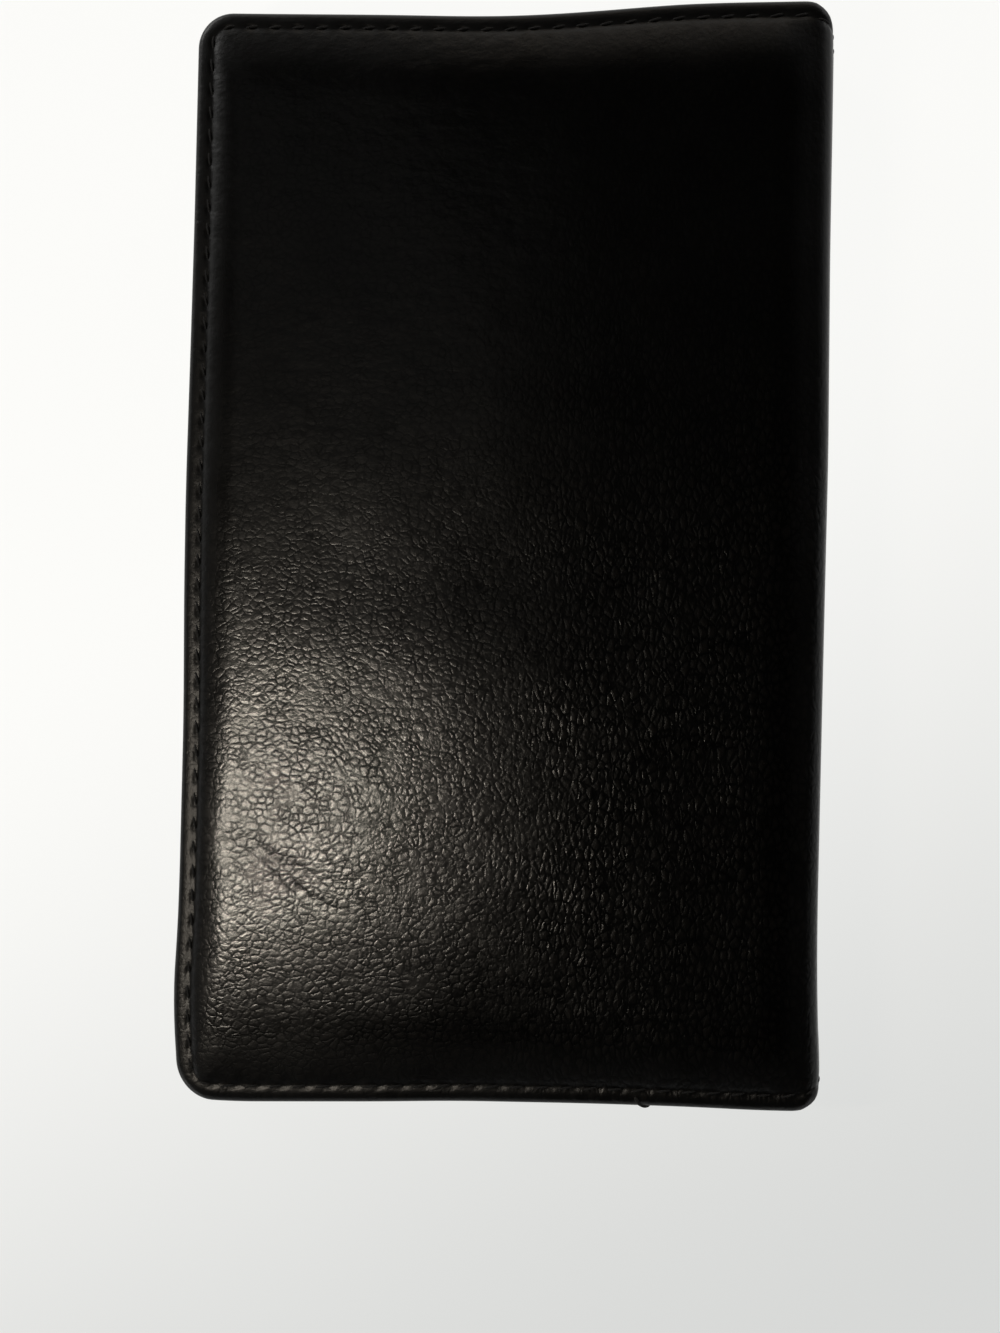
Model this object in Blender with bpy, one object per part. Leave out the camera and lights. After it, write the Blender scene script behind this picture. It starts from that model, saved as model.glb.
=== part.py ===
"""Travel document wallet: a padded leather book with pockets inside, lying closed on its back cover.

X runs across the wallet, with the spine at +X. Y runs up its height and Z through its thickness.
The origin is at the middle of the rest face, under the centre of the closed wallet.
"""

import math

import bmesh
import bpy
import numpy as np
from mathutils import Matrix, Vector

# Overall size, in metres
wallet_width = 0.126
wallet_height = 0.216
corner_radius = 0.0072

# Layers of a leaf, from the outside in
leather_wall = 0.0012
wadding_wall = 0.0020
board_wall = 0.0006
turn_in_wall = 0.0005
lining_wall = 0.0004
gap = 0.0003

# Shape of the padded covers
seam_border = 0.0042
shoulder_run = 0.0120
shoulder_power = 2.2
crown_corner_radius = 0.0100
fold_fall = 0.0080
turn_in_width = 0.0080

# Spine
fold_radius = 0.0036
spine_bulge = 0.0004
spine_corner_reach = 0.0060
spine_top_draw = 0.0055
spine_bottom_draw = 0.0040

# Insets of the inner layers from the covers' edge
wadding_inset = 0.0072
board_inset = 0.0015
lining_inset = 0.0020
panel_inset = 0.0024
board_to_fold = 0.0010
panel_to_fold = 0.0016

# Pockets
pocket_depth = 0.0042
panel_wall = 0.0007
pass_panel_wall = 0.0005
card_wall = 0.0005
leaf_clearance = 0.0004
document_mouth_drop = 0.0140
pass_mouth_drop = 0.0220
passport_pocket_height = 0.1120
passport_pocket_width = 0.1060
thumb_notch_radius = 0.0100
card_pocket_width = 0.0960
card_first_height = 0.0560
card_step = 0.0150
card_count = 3
card_base = 0.0090
card_corner_radius = 0.0030

# Gussets
gusset_wall = 0.0004
gusset_flange = 0.0030
gusset_fold = 0.0075

# Smoothness of round stretches
corner_steps = 6
edge_steps = 6
lining_edge_steps = 4
shoulder_steps = 6
fold_steps = 6
fall_steps = 4
spine_steps = 4
notch_steps = 14
smallest_radius = 0.0004
smooth_angle = math.radians(35)

# Heights that follow from the layers
crown = wadding_wall + gap
board_top = leather_wall + gap
edge_depth = board_top + board_wall + gap + turn_in_wall
edge_radius = edge_depth / 2
turn_hollow = (edge_depth - leather_wall - turn_in_wall) / 2
lining_top = edge_depth + gap
lining_face = crown + lining_top + lining_wall
document_face = lining_face + pocket_depth + panel_wall
card_face = document_face + card_count * (gap + card_wall)
pass_face = lining_face + gap + pass_panel_wall
passport_face = pass_face + pocket_depth + panel_wall
thickness = card_face + leaf_clearance + passport_face

# Lengths along the hide, laid flat from the back cover's fore edge to the front cover's
fold_x = wallet_width / 2 - fold_radius - spine_bulge
leaf_length = fold_x + wallet_width / 2
fold_length = fold_radius * math.pi / 2
spine_flat = thickness - 2 * (crown + fold_radius)
spine_start = leaf_length + fold_length
spine_end = spine_start + spine_flat
hide_length = spine_end + fold_length + leaf_length
back_split = leaf_length + fold_length / 2
front_split = hide_length - back_split

# Each fold turns about a line just outside the middle of its arc, so that the leather
# keeps its length when the arc unrolls: a quarter of pi times the radius, both ways.
fold_reach = fold_radius * math.pi / 4
spine_pivot = Vector((fold_x + fold_reach, 0, crown + fold_radius - fold_reach))
cover_pivot = Vector((spine_pivot.x, 0, thickness - spine_pivot.z))


def clear_scene():
    """Removes every object, so that the wallet stands alone."""
    for item in list(bpy.data.objects):
        bpy.data.objects.remove(item, do_unlink=True)


def finish_material(name, colour, roughness, metallic=0.0):
    """A plain Principled finish."""
    material = bpy.data.materials.new(name)
    material.use_nodes = True
    shader = material.node_tree.nodes["Principled BSDF"]
    shader.inputs["Base Color"].default_value = (*colour, 1.0)
    shader.inputs["Roughness"].default_value = roughness
    shader.inputs["Metallic"].default_value = metallic
    return material


def make_pivot(name, place, parent=None):
    """An empty on a fold's axis, which carries the pieces that turn about it."""
    pivot = bpy.data.objects.new(name, None)
    pivot.empty_display_size = 0.02
    bpy.context.scene.collection.objects.link(pivot)
    pivot.parent = parent
    pivot.location = place - (parent.location if parent else Vector())
    return pivot


def make_piece(name, bm, body, material, smooth=False):
    """Turns a finished bmesh, in world places, into a named object on its body's pivot."""
    pivot, place = body
    bm.normal_update()
    bmesh.ops.recalc_face_normals(bm, faces=bm.faces)
    mesh = bpy.data.meshes.new(name)
    bm.to_mesh(mesh)
    bm.free()
    mesh.transform(Matrix.Translation(-place))
    if smooth:
        mesh.shade_smooth()
        mesh.set_sharp_from_angle(angle=smooth_angle)
    mesh.materials.append(material)
    piece = bpy.data.objects.new(name, mesh)
    bpy.context.scene.collection.objects.link(piece)
    piece.parent = pivot
    return piece


def corner_arc(centre_x, centre_y, radius, start, steps):
    """Points of a quarter circle, from the start angle on."""
    angles = np.radians(np.linspace(start, start + 90, steps + 1))
    return [(centre_x + radius * math.cos(a), centre_y + radius * math.sin(a)) for a in angles]


def rounded_outline(low_x, high_x, low_y, high_y, left_radius, right_radius):
    """A rectangle with round corners, anticlockwise, with its own radius on each side."""
    lx, rx = low_x + left_radius, high_x - right_radius
    points = corner_arc(rx, high_y - right_radius, right_radius, 0, corner_steps)
    points += corner_arc(lx, high_y - left_radius, left_radius, 90, corner_steps)
    points += corner_arc(lx, low_y + left_radius, left_radius, 180, corner_steps)
    points += corner_arc(rx, low_y + right_radius, right_radius, 270, corner_steps)
    return points


def loft(rings):
    """Joins rings of equal count into a closed body, capped at the first and the last."""
    bm = bmesh.new()
    rows = [[bm.verts.new(point) for point in ring] for ring in rings]
    count = len(rows[0])
    for row, following in zip(rows, rows[1:]):
        for i in range(count):
            j = (i + 1) % count
            bm.faces.new((row[i], row[j], following[j], following[i]))
    bm.faces.new(rows[0])
    bm.faces.new(rows[-1])
    return bm


def hide_ring(inset, depth):
    """One ring of the flat hide: its outline drawn in by the inset, at a depth under its face."""
    shoulder = min(max((inset - seam_border) / shoulder_run, 0), 1)
    radius = max(corner_radius - min(inset, seam_border), smallest_radius)
    radius += shoulder * (crown_corner_radius - radius)
    half = wallet_height / 2 - inset
    outline = rounded_outline(inset, hide_length - inset, -half, half, radius, radius)
    return [(s, y, -depth) for s, y in outline]


def fall_factor(s):
    """How much of the crown is left at a length along the hide: all on a leaf, none on the spine."""
    from_fore_edge = min(s, hide_length - s)
    way = (from_fore_edge - leaf_length + fold_fall) / (fold_fall + fold_length)
    way = min(max(way, 0), 1)
    return 1 - way * way * (3 - 2 * way)


def raise_crown(bm, crown_share):
    """Lifts each point by the crown where its own share, kept by vertex, says so."""
    for vert in bm.verts:
        vert.co.z += crown * vert[crown_share] * fall_factor(vert.co.x)


def hide_stations():
    """Lengths along the hide where a fold or a fall needs a row of points."""
    fall = [leaf_length - fold_fall * (1 - i / fall_steps) for i in range(fall_steps)]
    arc = [leaf_length + fold_length * i / fold_steps for i in range(fold_steps + 1)]
    back = fall + arc
    middle = [spine_start + spine_flat * i / spine_steps for i in range(1, spine_steps)]
    return back + middle + [hide_length - s for s in back]


def cut_hide(bm, start, end):
    """Keeps the stretch of the flat hide between two lengths and closes its cut ends."""
    for s in hide_stations():
        geometry = bm.verts[:] + bm.edges[:] + bm.faces[:]
        bmesh.ops.bisect_plane(bm, geom=geometry, dist=1e-7, plane_co=(s, 0, 0), plane_no=(1, 0, 0))
    for s, side in ((start, -1), (end, 1)):
        if 0 < s < hide_length:
            geometry = bm.verts[:] + bm.edges[:] + bm.faces[:]
            bmesh.ops.bisect_plane(
                bm, geom=geometry, dist=1e-7, plane_co=(s, 0, 0), plane_no=(side, 0, 0), clear_outer=True
            )
            rim = [edge for edge in bm.edges if edge.is_boundary]
            bmesh.ops.edgeloop_fill(bm, edges=rim)


def fold_point(s, y, height):
    """Wraps a point of the flat hide round the closed wallet. Height is measured outwards."""
    from_fore_edge = min(s, hide_length - s)
    if from_fore_edge <= leaf_length:
        x = from_fore_edge - wallet_width / 2
        z = crown - height
    elif from_fore_edge <= spine_start:
        turn = (from_fore_edge - leaf_length) / fold_radius
        x = fold_x + (fold_radius + height) * math.sin(turn)
        z = crown + fold_radius - (fold_radius + height) * math.cos(turn)
    else:
        from_middle = (s - hide_length / 2) / (spine_flat / 2)
        x = fold_x + fold_radius + height + spine_bulge * (1 - from_middle * from_middle)
        z = crown + fold_radius + from_fore_edge - spine_start
    return Vector((x, y, thickness - z if s > hide_length / 2 else z))


def draw_end(s, y):
    """Draws the top and bottom edges in towards the spine, so that its corners look round in plan."""
    way = (fold_point(s, y, 0).x - wallet_width / 2) / spine_corner_reach + 1
    way = min(max(way, 0), 1)
    full_draw = spine_top_draw if y > 0 else spine_bottom_draw
    return y * (1 - full_draw * (1 - math.sqrt(1 - way * way)) / (wallet_height / 2))


def hide_layer(name, profile, start, end, body, material, smooth=False):
    """A layer of the covers: rings of (inset, depth, crown share), cut to a stretch and folded."""
    bm = loft([hide_ring(inset, depth) for inset, depth, share in profile])
    crown_share = bm.verts.layers.float.new("crown_share")
    bm.verts.ensure_lookup_table()
    ring_size = len(bm.verts) // len(profile)
    for i, vert in enumerate(bm.verts):
        vert[crown_share] = profile[i // ring_size][2]
    cut_hide(bm, start, end)
    raise_crown(bm, crown_share)
    for vert in bm.verts:
        s, y, height = vert.co
        vert.co = fold_point(s, draw_end(s, y), height)
    return make_piece(name, bm, body, material, smooth)


def shoulder_profile(depth, outer_inset):
    """Rings up a padded shoulder, from an inset in to the flat of the crown."""
    first = min(max((outer_inset - seam_border) / shoulder_run, 0), 1)
    ways = first + (1 - first) * np.linspace(0, 1, shoulder_steps + 1) ** 1.4
    return [(seam_border + shoulder_run * u, depth, 1 - (1 - u) ** shoulder_power) for u in ways]


def leather_profile():
    """The hide's section: inner face, round inside of the turned edge, turn-in, edge, outer face."""
    inner_face = shoulder_profile(leather_wall, seam_border)[::-1]
    hollow_middle = leather_wall + turn_hollow
    hollow = []
    for a in np.linspace(0, math.pi, lining_edge_steps + 1):
        inset = edge_radius - turn_hollow * math.sin(a)
        hollow.append((inset, hollow_middle - turn_hollow * math.cos(a), 0))
    turn_in = [(turn_in_width, edge_depth - turn_in_wall, 0), (turn_in_width, edge_depth, 0)]
    edge = []
    for a in np.linspace(0, math.pi, edge_steps + 1):
        inset = edge_radius * (1 - math.sin(a))
        edge.append((inset, edge_radius * (1 + math.cos(a)), 0))
    return inner_face + hollow + turn_in + edge + shoulder_profile(0, seam_border)


def sheet_profile(inset, top, wall):
    """A flat layer with square edges."""
    return [(inset, top, 0), (inset, top + wall, 0)]


def wadding_profile():
    """A cushion, flat against the board and crowned towards the leather."""
    crowned = shoulder_profile(board_top, wadding_inset)
    flat_edge = (crowned[0][0], leather_wall, 0)
    return [flat_edge] + crowned


def make_covers(bodies, leather, wadding, board, lining):
    """The hide in its three stretches, and the layers that it wraps."""
    back, spine, front = bodies
    half_gap = gap / 2
    hide = leather_profile()
    hide_layer("back_cover_leather", hide, 0, back_split - half_gap, back, leather, True)
    hide_layer("spine_leather", hide, back_split + half_gap, front_split - half_gap, spine, leather, True)
    hide_layer("front_cover_leather", hide, front_split + half_gap, hide_length, front, leather, True)

    inner_end = leaf_length - board_to_fold
    outer_start = hide_length - inner_end
    pad = wadding_profile()
    hide_layer("back_wadding", pad, 0, inner_end, back, wadding, True)
    hide_layer("front_wadding", pad, outer_start, hide_length, front, wadding, True)

    stiffener = sheet_profile(board_inset, board_top, board_wall)
    hide_layer("back_board", stiffener, 0, inner_end, back, board)
    hide_layer("spine_board", stiffener, spine_start + half_gap, spine_end - half_gap, spine, board)
    hide_layer("front_board", stiffener, outer_start, hide_length, front, board)

    cloth = sheet_profile(lining_inset, lining_top, lining_wall)
    hide_layer("back_lining", cloth, 0, leaf_length - half_gap, back, lining)
    hide_layer("spine_lining", cloth, spine_start + half_gap, spine_end - half_gap, spine, lining)
    hide_layer("front_lining", cloth, hide_length - leaf_length + half_gap, hide_length, front, lining)


def leaf_height(depth, on_front):
    """World height of a depth measured in from a leaf's crown."""
    return thickness - depth if on_front else depth


def make_panel(name, outline, depth, wall, body, material, on_front=False):
    """A flat panel of one wall, laid at a depth in its leaf."""
    levels = (leaf_height(depth, on_front), leaf_height(depth + wall, on_front))
    bm = loft([[(x, y, z) for x, y in outline] for z in levels])
    return make_piece(name, bm, body, material)


def thumb_notch(middle_x, mouth_y, low_x, high_x, low_y):
    """A panel's outline with a round bite out of the middle of its mouth."""
    points = rounded_outline(low_x, high_x, low_y, mouth_y, card_corner_radius, card_corner_radius)
    right_top = points[: corner_steps + 1]
    rest = points[corner_steps + 1 :]
    r = thumb_notch_radius
    angles = np.linspace(0, -math.pi, notch_steps + 1)
    bite = [(middle_x + r * math.cos(a), mouth_y + r * math.sin(a)) for a in angles]
    return right_top + bite + rest


def thick_line(points, wall):
    """A closed outline of one wall round a bent line, with mitred bends."""
    line = [Vector(point) for point in points]
    one_side, other_side = [], []
    for i, point in enumerate(line):
        before = (point - line[i - 1]).normalized() if i else None
        after = (line[i + 1] - point).normalized() if i + 1 < len(line) else None
        before = before or after
        after = after or before
        along = (before + after).normalized()
        across = Vector((-along.y, along.x))
        reach = wall / 2 / across.dot(Vector((-after.y, after.x)))
        one_side.append(point + across * reach)
        other_side.append(point - across * reach)
    return one_side + other_side[::-1]


def open_outline(low_x, high_x, low_y, mouth_y, inset, radius):
    """Down the left side, along the bottom and up the right side of a pocket, drawn in by an inset."""
    left, right, bottom = low_x + inset, high_x - inset, low_y + inset
    r = max(radius - inset, smallest_radius)
    points = [(left, mouth_y)]
    points += corner_arc(left + r, bottom + r, r, 180, corner_steps)
    points += corner_arc(right - r, bottom + r, r, 270, corner_steps)
    return points + [(right, mouth_y)]


def make_gusset(name, low_x, high_x, low_y, mouth_y, radius, depth, body, material, on_front=False):
    """A bellows strip round three sides of a pocket: two flanges joined by an inward fold."""
    height = pocket_depth - 2 * gap
    half_wall = gusset_wall / 2
    fold_line = [
        (0, half_wall),
        (gusset_flange, half_wall),
        (gusset_fold, height / 2),
        (gusset_flange, height - half_wall),
        (0, height - half_wall),
    ]
    section = thick_line(fold_line, gusset_wall)
    bm = bmesh.new()
    rows = []
    for inset, rise in section:
        z = leaf_height(depth + gap + rise, on_front)
        outline = open_outline(low_x, high_x, low_y, mouth_y, inset, radius)
        rows.append([bm.verts.new((x, y, z)) for x, y in outline])
    for row, following in zip(rows, rows[1:] + rows[:1]):
        for i in range(len(row) - 1):
            bm.faces.new((row[i], row[i + 1], following[i + 1], following[i]))
    bm.faces.new([row[0] for row in rows])
    bm.faces.new([row[-1] for row in rows])
    return make_piece(name, bm, body, material)


def make_back_pockets(body, leather, cloth):
    """On the back leaf: a full-height document pocket, with stepped card panels on its face."""
    low_x = panel_inset - wallet_width / 2
    high_x = fold_x - panel_to_fold
    low_y = panel_inset - wallet_height / 2
    mouth_y = wallet_height / 2 - document_mouth_drop
    radius = corner_radius - panel_inset
    make_gusset("document_pocket_gusset", low_x, high_x, low_y, mouth_y, radius, lining_face, body, cloth)
    outline = rounded_outline(low_x, high_x, low_y, mouth_y, radius, radius)
    make_panel("document_pocket_panel", outline, lining_face + pocket_depth, panel_wall, body, leather)

    middle_x = (low_x + high_x) / 2
    base_y = low_y + card_base
    for i in range(card_count):
        height = card_first_height + card_step * (card_count - 1 - i)
        outline = rounded_outline(
            middle_x - card_pocket_width / 2,
            middle_x + card_pocket_width / 2,
            base_y,
            base_y + height,
            card_corner_radius,
            card_corner_radius,
        )
        depth = document_face + gap + i * (gap + card_wall)
        make_panel(f"card_panel_{i + 1}", outline, depth, card_wall, body, leather)


def make_front_pockets(body, leather, cloth):
    """On the front leaf: a flat boarding pass pocket, and a gusseted passport pocket on its face."""
    low_x = panel_inset - wallet_width / 2
    high_x = fold_x - panel_to_fold
    low_y = panel_inset - wallet_height / 2
    mouth_y = wallet_height / 2 - pass_mouth_drop
    radius = corner_radius - panel_inset
    outline = rounded_outline(low_x, high_x, low_y, mouth_y, radius, radius)
    make_panel("boarding_pass_panel", outline, lining_face + gap, pass_panel_wall, body, leather, True)

    middle_x = (low_x + high_x) / 2
    left = middle_x - passport_pocket_width / 2
    right = middle_x + passport_pocket_width / 2
    passport_mouth = low_y + passport_pocket_height
    make_gusset(
        "passport_pocket_gusset", left, right, low_y, passport_mouth, radius, pass_face, body, cloth, True
    )
    outline = thumb_notch(middle_x, passport_mouth, left, right, low_y)
    make_panel("passport_pocket_panel", outline, pass_face + pocket_depth, panel_wall, body, leather, True)


def make_wallet():
    """The whole wallet, with a pivot on each fold."""
    clear_scene()
    leather = finish_material("black_grain_leather", (0.014, 0.013, 0.013), 0.42)
    pocket_leather = finish_material("black_pocket_leather", (0.018, 0.017, 0.017), 0.5)
    wadding = finish_material("grey_wadding", (0.35, 0.35, 0.35), 0.95)
    board = finish_material("stiff_board", (0.22, 0.17, 0.12), 0.85)
    lining = finish_material("dark_lining", (0.03, 0.03, 0.034), 0.8)

    spine_empty = make_pivot("spine_fold_axis", spine_pivot)
    cover_empty = make_pivot("cover_fold_axis", cover_pivot, spine_empty)
    back = (None, Vector())
    spine = (spine_empty, spine_pivot)
    front = (cover_empty, cover_pivot)

    make_covers((back, spine, front), leather, wadding, board, lining)
    make_back_pockets(back, pocket_leather, lining)
    make_front_pockets(front, pocket_leather, lining)


make_wallet()
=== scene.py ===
import math

import bmesh
import bpy
import numpy as np
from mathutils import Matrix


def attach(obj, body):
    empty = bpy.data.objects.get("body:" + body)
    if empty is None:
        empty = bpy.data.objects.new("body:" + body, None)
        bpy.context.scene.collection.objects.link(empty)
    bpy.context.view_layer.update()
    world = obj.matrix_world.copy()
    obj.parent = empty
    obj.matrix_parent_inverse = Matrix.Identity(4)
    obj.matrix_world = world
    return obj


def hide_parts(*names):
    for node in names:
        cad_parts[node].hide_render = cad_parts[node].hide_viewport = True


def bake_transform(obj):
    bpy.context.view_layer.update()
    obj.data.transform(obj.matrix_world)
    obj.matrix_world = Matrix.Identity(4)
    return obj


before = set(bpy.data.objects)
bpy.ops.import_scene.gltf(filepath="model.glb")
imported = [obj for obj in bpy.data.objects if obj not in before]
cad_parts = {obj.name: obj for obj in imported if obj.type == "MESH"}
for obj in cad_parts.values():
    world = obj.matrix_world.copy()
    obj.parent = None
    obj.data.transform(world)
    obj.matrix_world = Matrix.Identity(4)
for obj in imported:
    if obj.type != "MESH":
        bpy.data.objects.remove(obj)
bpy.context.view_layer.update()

# Travel document wallet: black pebbled leather over padded boards, closed on its back cover.
# X runs across it with the spine at +X, Y up its height and Z through its thickness, in metres.

# The hide's layout, the same as the solids have
hide = dict(
    width=0.1260, height=0.2160, thick=0.0252,
    leather=0.0012, edgeDepth=0.0029, turnInWall=0.0005, turnInWidth=0.0080,
    cornerRadius=0.0072, leastRadius=0.0004, seamBorder=0.0036, shoulderRun=0.0150, shoulderPower=2.5,
    crown=0.0023, crownCorner=0.0100, foldFall=0.0080,
    # the shoulder along the fore edge
    foreSteeper=2.10, foreStep=0.40, foreStepRun=0.236, foreCrown=0.62, foreReach=0.085,
    foreMitre=(-0.004, 0.012),
    foldRadius=0.0036, foldSquare=2.8, spineBulge=0.0004, cornerReach=0.0060,
    topDraw=0.0055, bottomDraw=0.0040,
)

halfWidth, halfHeight, crown = hide["width"] / 2, hide["height"] / 2, hide["crown"]
foldRadius = hide["foldRadius"]
foldX = halfWidth - foldRadius - hide["spineBulge"]
leafLength = foldX + halfWidth
foldLength = foldRadius * math.pi / 2
spineFlat = hide["thick"] - 2 * (crown + foldRadius)
halfHide = leafLength + foldLength + spineFlat / 2  # from a fore edge to the middle of the spine
shoulderSpan = hide["seamBorder"], hide["seamBorder"] + hide["shoulderRun"]


# Shapes that several pieces share


# A smooth step: nought below low, one above high, and 3t^2 - 2t^3 between.
def smoothStep(value, low, high):
    t = np.clip((value - low) / (high - low), 0, 1)
    return t * t * (3 - 2 * t)


# A bell: e to the minus the square of the distance over the reach.
def bell(distance, reach):
    return np.exp(-(distance / reach) ** 2)


# Soft noise over two coordinates: a sum of plane waves of about one length, each with a random
# direction and phase, divided by the root of half their number so that it stays near one.
def softNoise(u, v, length, seed, waves=14, stretch=1.0):
    rng = np.random.default_rng(seed)
    total = np.zeros(np.broadcast(u, v).shape)
    for _ in range(waves):
        angle, phase = rng.uniform(0, 2 * math.pi, 2)
        size = 2 * math.pi / (length * rng.uniform(0.7, 1.4))
        total += np.sin(size * (u * math.cos(angle) / stretch + v * math.sin(angle)) + phase)
    return total / math.sqrt(waves / 2)


# The length along a line of points up to each one: the running sum of its steps.
def runOf(line):
    return np.concatenate([[0], np.cumsum(np.linalg.norm(np.diff(line, axis=0), axis=1))])


# Each value's two neighbours and itself twice, over four, for all but the ends of a line.
def evenOut(line, times):
    for _ in range(times):
        line[1:-1] = (line[:-2] + 2 * line[1:-1] + line[2:]) / 4
    return line


# The spine's shallow parabola, by length along the hide.
def spineBulge(f):
    return hide["spineBulge"] * np.clip(1 - ((f - halfHide) / (spineFlat / 2)) ** 2, 0, 1)


# A point of the hide, f in from a fore edge and h outwards: flat on the leaf, on a squared arc
# (sin^n + cos^n = 1) round the fold, and on a shallow parabola up the spine. The front half is the
# back half turned over in z.
def wrapHide(f, y, h, front):
    turn = np.clip((f - leafLength) / foldRadius, 0, math.pi / 2)
    upSpine = np.clip(f - leafLength - foldLength, 0, None)
    plain = foldX + np.minimum(f - leafLength, 0) + spineBulge(f)
    square = hide["foldSquare"]
    reach = (foldRadius + h) * (np.sin(turn) ** square + np.cos(turn) ** square) ** (-1 / square)
    x = plain + reach * np.sin(turn)
    z = crown + foldRadius - reach * np.cos(turn) + upSpine
    way = np.clip((plain + foldRadius * np.sin(turn) - halfWidth) / hide["cornerReach"] + 1, 0, 1)
    fullDraw = np.where(y > 0, hide["topDraw"], hide["bottomDraw"])
    y = y * (1 - fullDraw * (1 - np.sqrt(1 - way * way)) / halfHeight)
    return np.stack(np.broadcast_arrays(x, y, hide["thick"] - z if front else z), -1)


# The corner radius of the hide's outline drawn in by an inset: the border is a true offset, and
# the shoulder rounds out towards the crown's own corners.
def cornerAt(inset):
    border = np.maximum(hide["cornerRadius"] - np.minimum(inset, hide["seamBorder"]), hide["leastRadius"])
    share = np.clip((inset - hide["seamBorder"]) / hide["shoulderRun"], 0, 1)
    return border + share * (hide["crownCorner"] - border)


# How far in from the outline a point lies: the largest inset whose rounded outline holds it, found
# by halving. The shoulder counts for more along f, because it is steeper at the fore edge.
def insetOf(f, y, halvings=24):
    f = f + (hide["foreSteeper"] - 1) * np.maximum(f - hide["seamBorder"], 0)
    fromEnd = halfHeight - np.abs(y)
    low, high = np.zeros(f.shape), np.full(f.shape, hide["seamBorder"] + hide["shoulderRun"])
    for _ in range(halvings):
        middle = (low + high) / 2
        radius = cornerAt(middle)
        a, b = f - middle, fromEnd - middle
        round_ = radius - np.hypot(radius - a, radius - b)
        inside = np.where((a < radius) & (b < radius), round_, np.minimum(a, b)) >= 0
        low, high = np.where(inside, middle, low), np.where(inside, high, middle)
    return low


# The padded height over the seam border: one less a power of the way up the shoulder, and it
# falls away to nothing over the fold. It is lower towards the fore edge, and rises there in a
# quick step (one less e to the minus the way) with a parabola after it.
def padHeight(f, y, inset):
    way = np.clip((inset - hide["seamBorder"]) / hide["shoulderRun"], 0, 1)
    fall = 1 - smoothStep(f, leafLength - hide["foldFall"], leafLength + foldLength)
    fore = smoothStep(halfHeight - np.abs(y) - f, *hide["foreMitre"])
    low = 1 - smoothStep(f, 0.0, hide["foreReach"])
    rise = 1 - (1 - way) ** hide["shoulderPower"]
    step = hide["foreStep"] * (1 - np.exp(-way / hide["foreStepRun"]))
    foreRise = step + (1 - hide["foreStep"]) * (1 - (1 - way) ** 2)
    return crown * (1 + (hide["foreCrown"] - 1) * low) * (rise + (foreRise - rise) * fore) * fall


# Quads between neighbours of a grid of vertex numbers.
def gridFaces(index):
    return np.stack([index[:-1, :-1], index[:-1, 1:], index[1:, 1:], index[1:, :-1]], -1).reshape(-1, 4)


# The vertex numbers round the rim of a grid.
def rimOf(index):
    return np.concatenate([index[0], index[1:, -1], index[-1, ::-1][1:], index[1:-1, 0][::-1]])


# Puts points and faces into a mesh object at the origin, with smooth faces and sharp creases.
def makePiece(name, points, faces, material, slot, sharp=40, closed=True):
    mesh = bpy.data.meshes.new(name)
    mesh.from_pydata(np.asarray(points).reshape(-1, 3).tolist(), [], faces)
    if closed:
        bm = bmesh.new()
        bm.from_mesh(mesh)
        bmesh.ops.recalc_face_normals(bm, faces=bm.faces)
        bm.to_mesh(mesh)
        bm.free()
    mesh.shade_smooth()
    mesh.set_sharp_from_angle(angle=math.radians(sharp))
    mesh.materials.append(material)
    piece = bpy.data.objects.new(name, mesh)
    bpy.context.scene.collection.objects.link(piece)
    return piece


# Finishes


# A node in the tree of its linked inputs, with its settings and its inputs by name or number: a
# socket is linked, a value is set.
def addNode(kind, inputs, **settings):
    sockets = [value for value in inputs.values() if isinstance(value, bpy.types.NodeSocket)]
    tree = sockets[0].id_data
    node = tree.nodes.new("ShaderNode" + kind)
    for key, value in settings.items():
        setattr(node, key, value)
    for key, value in inputs.items():
        if isinstance(value, bpy.types.NodeSocket):
            tree.links.new(value, node.inputs[key])
        else:
            node.inputs[key].default_value = value
    return node


# A Principled material with the constants that hold all over it.
def newFinish(name, **constants):
    material = bpy.data.materials.new(name)
    material.use_nodes = True
    nodes = material.node_tree.nodes
    shader = nodes["Principled BSDF"]
    for key, value in constants.items():
        shader.inputs[key.replace("_", " ")].default_value = value
    return material, shader, nodes.new("ShaderNodeTexCoord").outputs["Object"]


# Links a value to one of the shader's inputs.
def feed(shader, name, value):
    shader.id_data.links.new(value, shader.inputs[name])


# One sum of up to three values.
def doMath(operation, a, b=0.0, c=0.0):
    return addNode("Math", {0: a, 1: b, 2: c}, operation=operation).outputs[0]


# The first value times the second.
def multiply(a, b):
    return doMath("MULTIPLY", a, b)


# The first value times the second, and the third added.
def multiplyAdd(a, b, c):
    return doMath("MULTIPLY_ADD", a, b, c)


# A value carried from one range to another along a smooth step, or straight.
def mapRange(value, low, high, toLow=0.0, toHigh=1.0, smooth=True):
    return addNode(
        "MapRange",
        {"Value": value, "From Min": low, "From Max": high, "To Min": toLow, "To Max": toHigh},
        interpolation_type="SMOOTHSTEP" if smooth else "LINEAR",
    ).outputs["Result"]


# A place times a scale in each direction.
def scaled(place, scale):
    return addNode("Mapping", {"Vector": place, "Scale": scale}).outputs["Vector"]


# Noise at a place, as a value or a colour.
def noiseOf(place, scale, detail=2.0, roughness=0.5, output="Fac"):
    inputs = {"Vector": place, "Scale": scale, "Detail": detail, "Roughness": roughness}
    return addNode("TexNoise", inputs).outputs[output]


# Even waves across a place in one direction.
def wavesOf(place, scale, direction, **more):
    inputs = {"Vector": place, "Scale": scale, **more}
    return addNode("TexWave", inputs, wave_type="BANDS", bands_direction=direction).outputs["Fac"]


# A place pushed about by noise, so that cells and lines lose their regularity.
def wander(place, scale, reach):
    inputs = {0: noiseOf(place, scale, output="Color"), 1: (reach,) * 3, 2: place}
    return addNode("VectorMath", inputs, operation="MULTIPLY_ADD").outputs[0]


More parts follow.
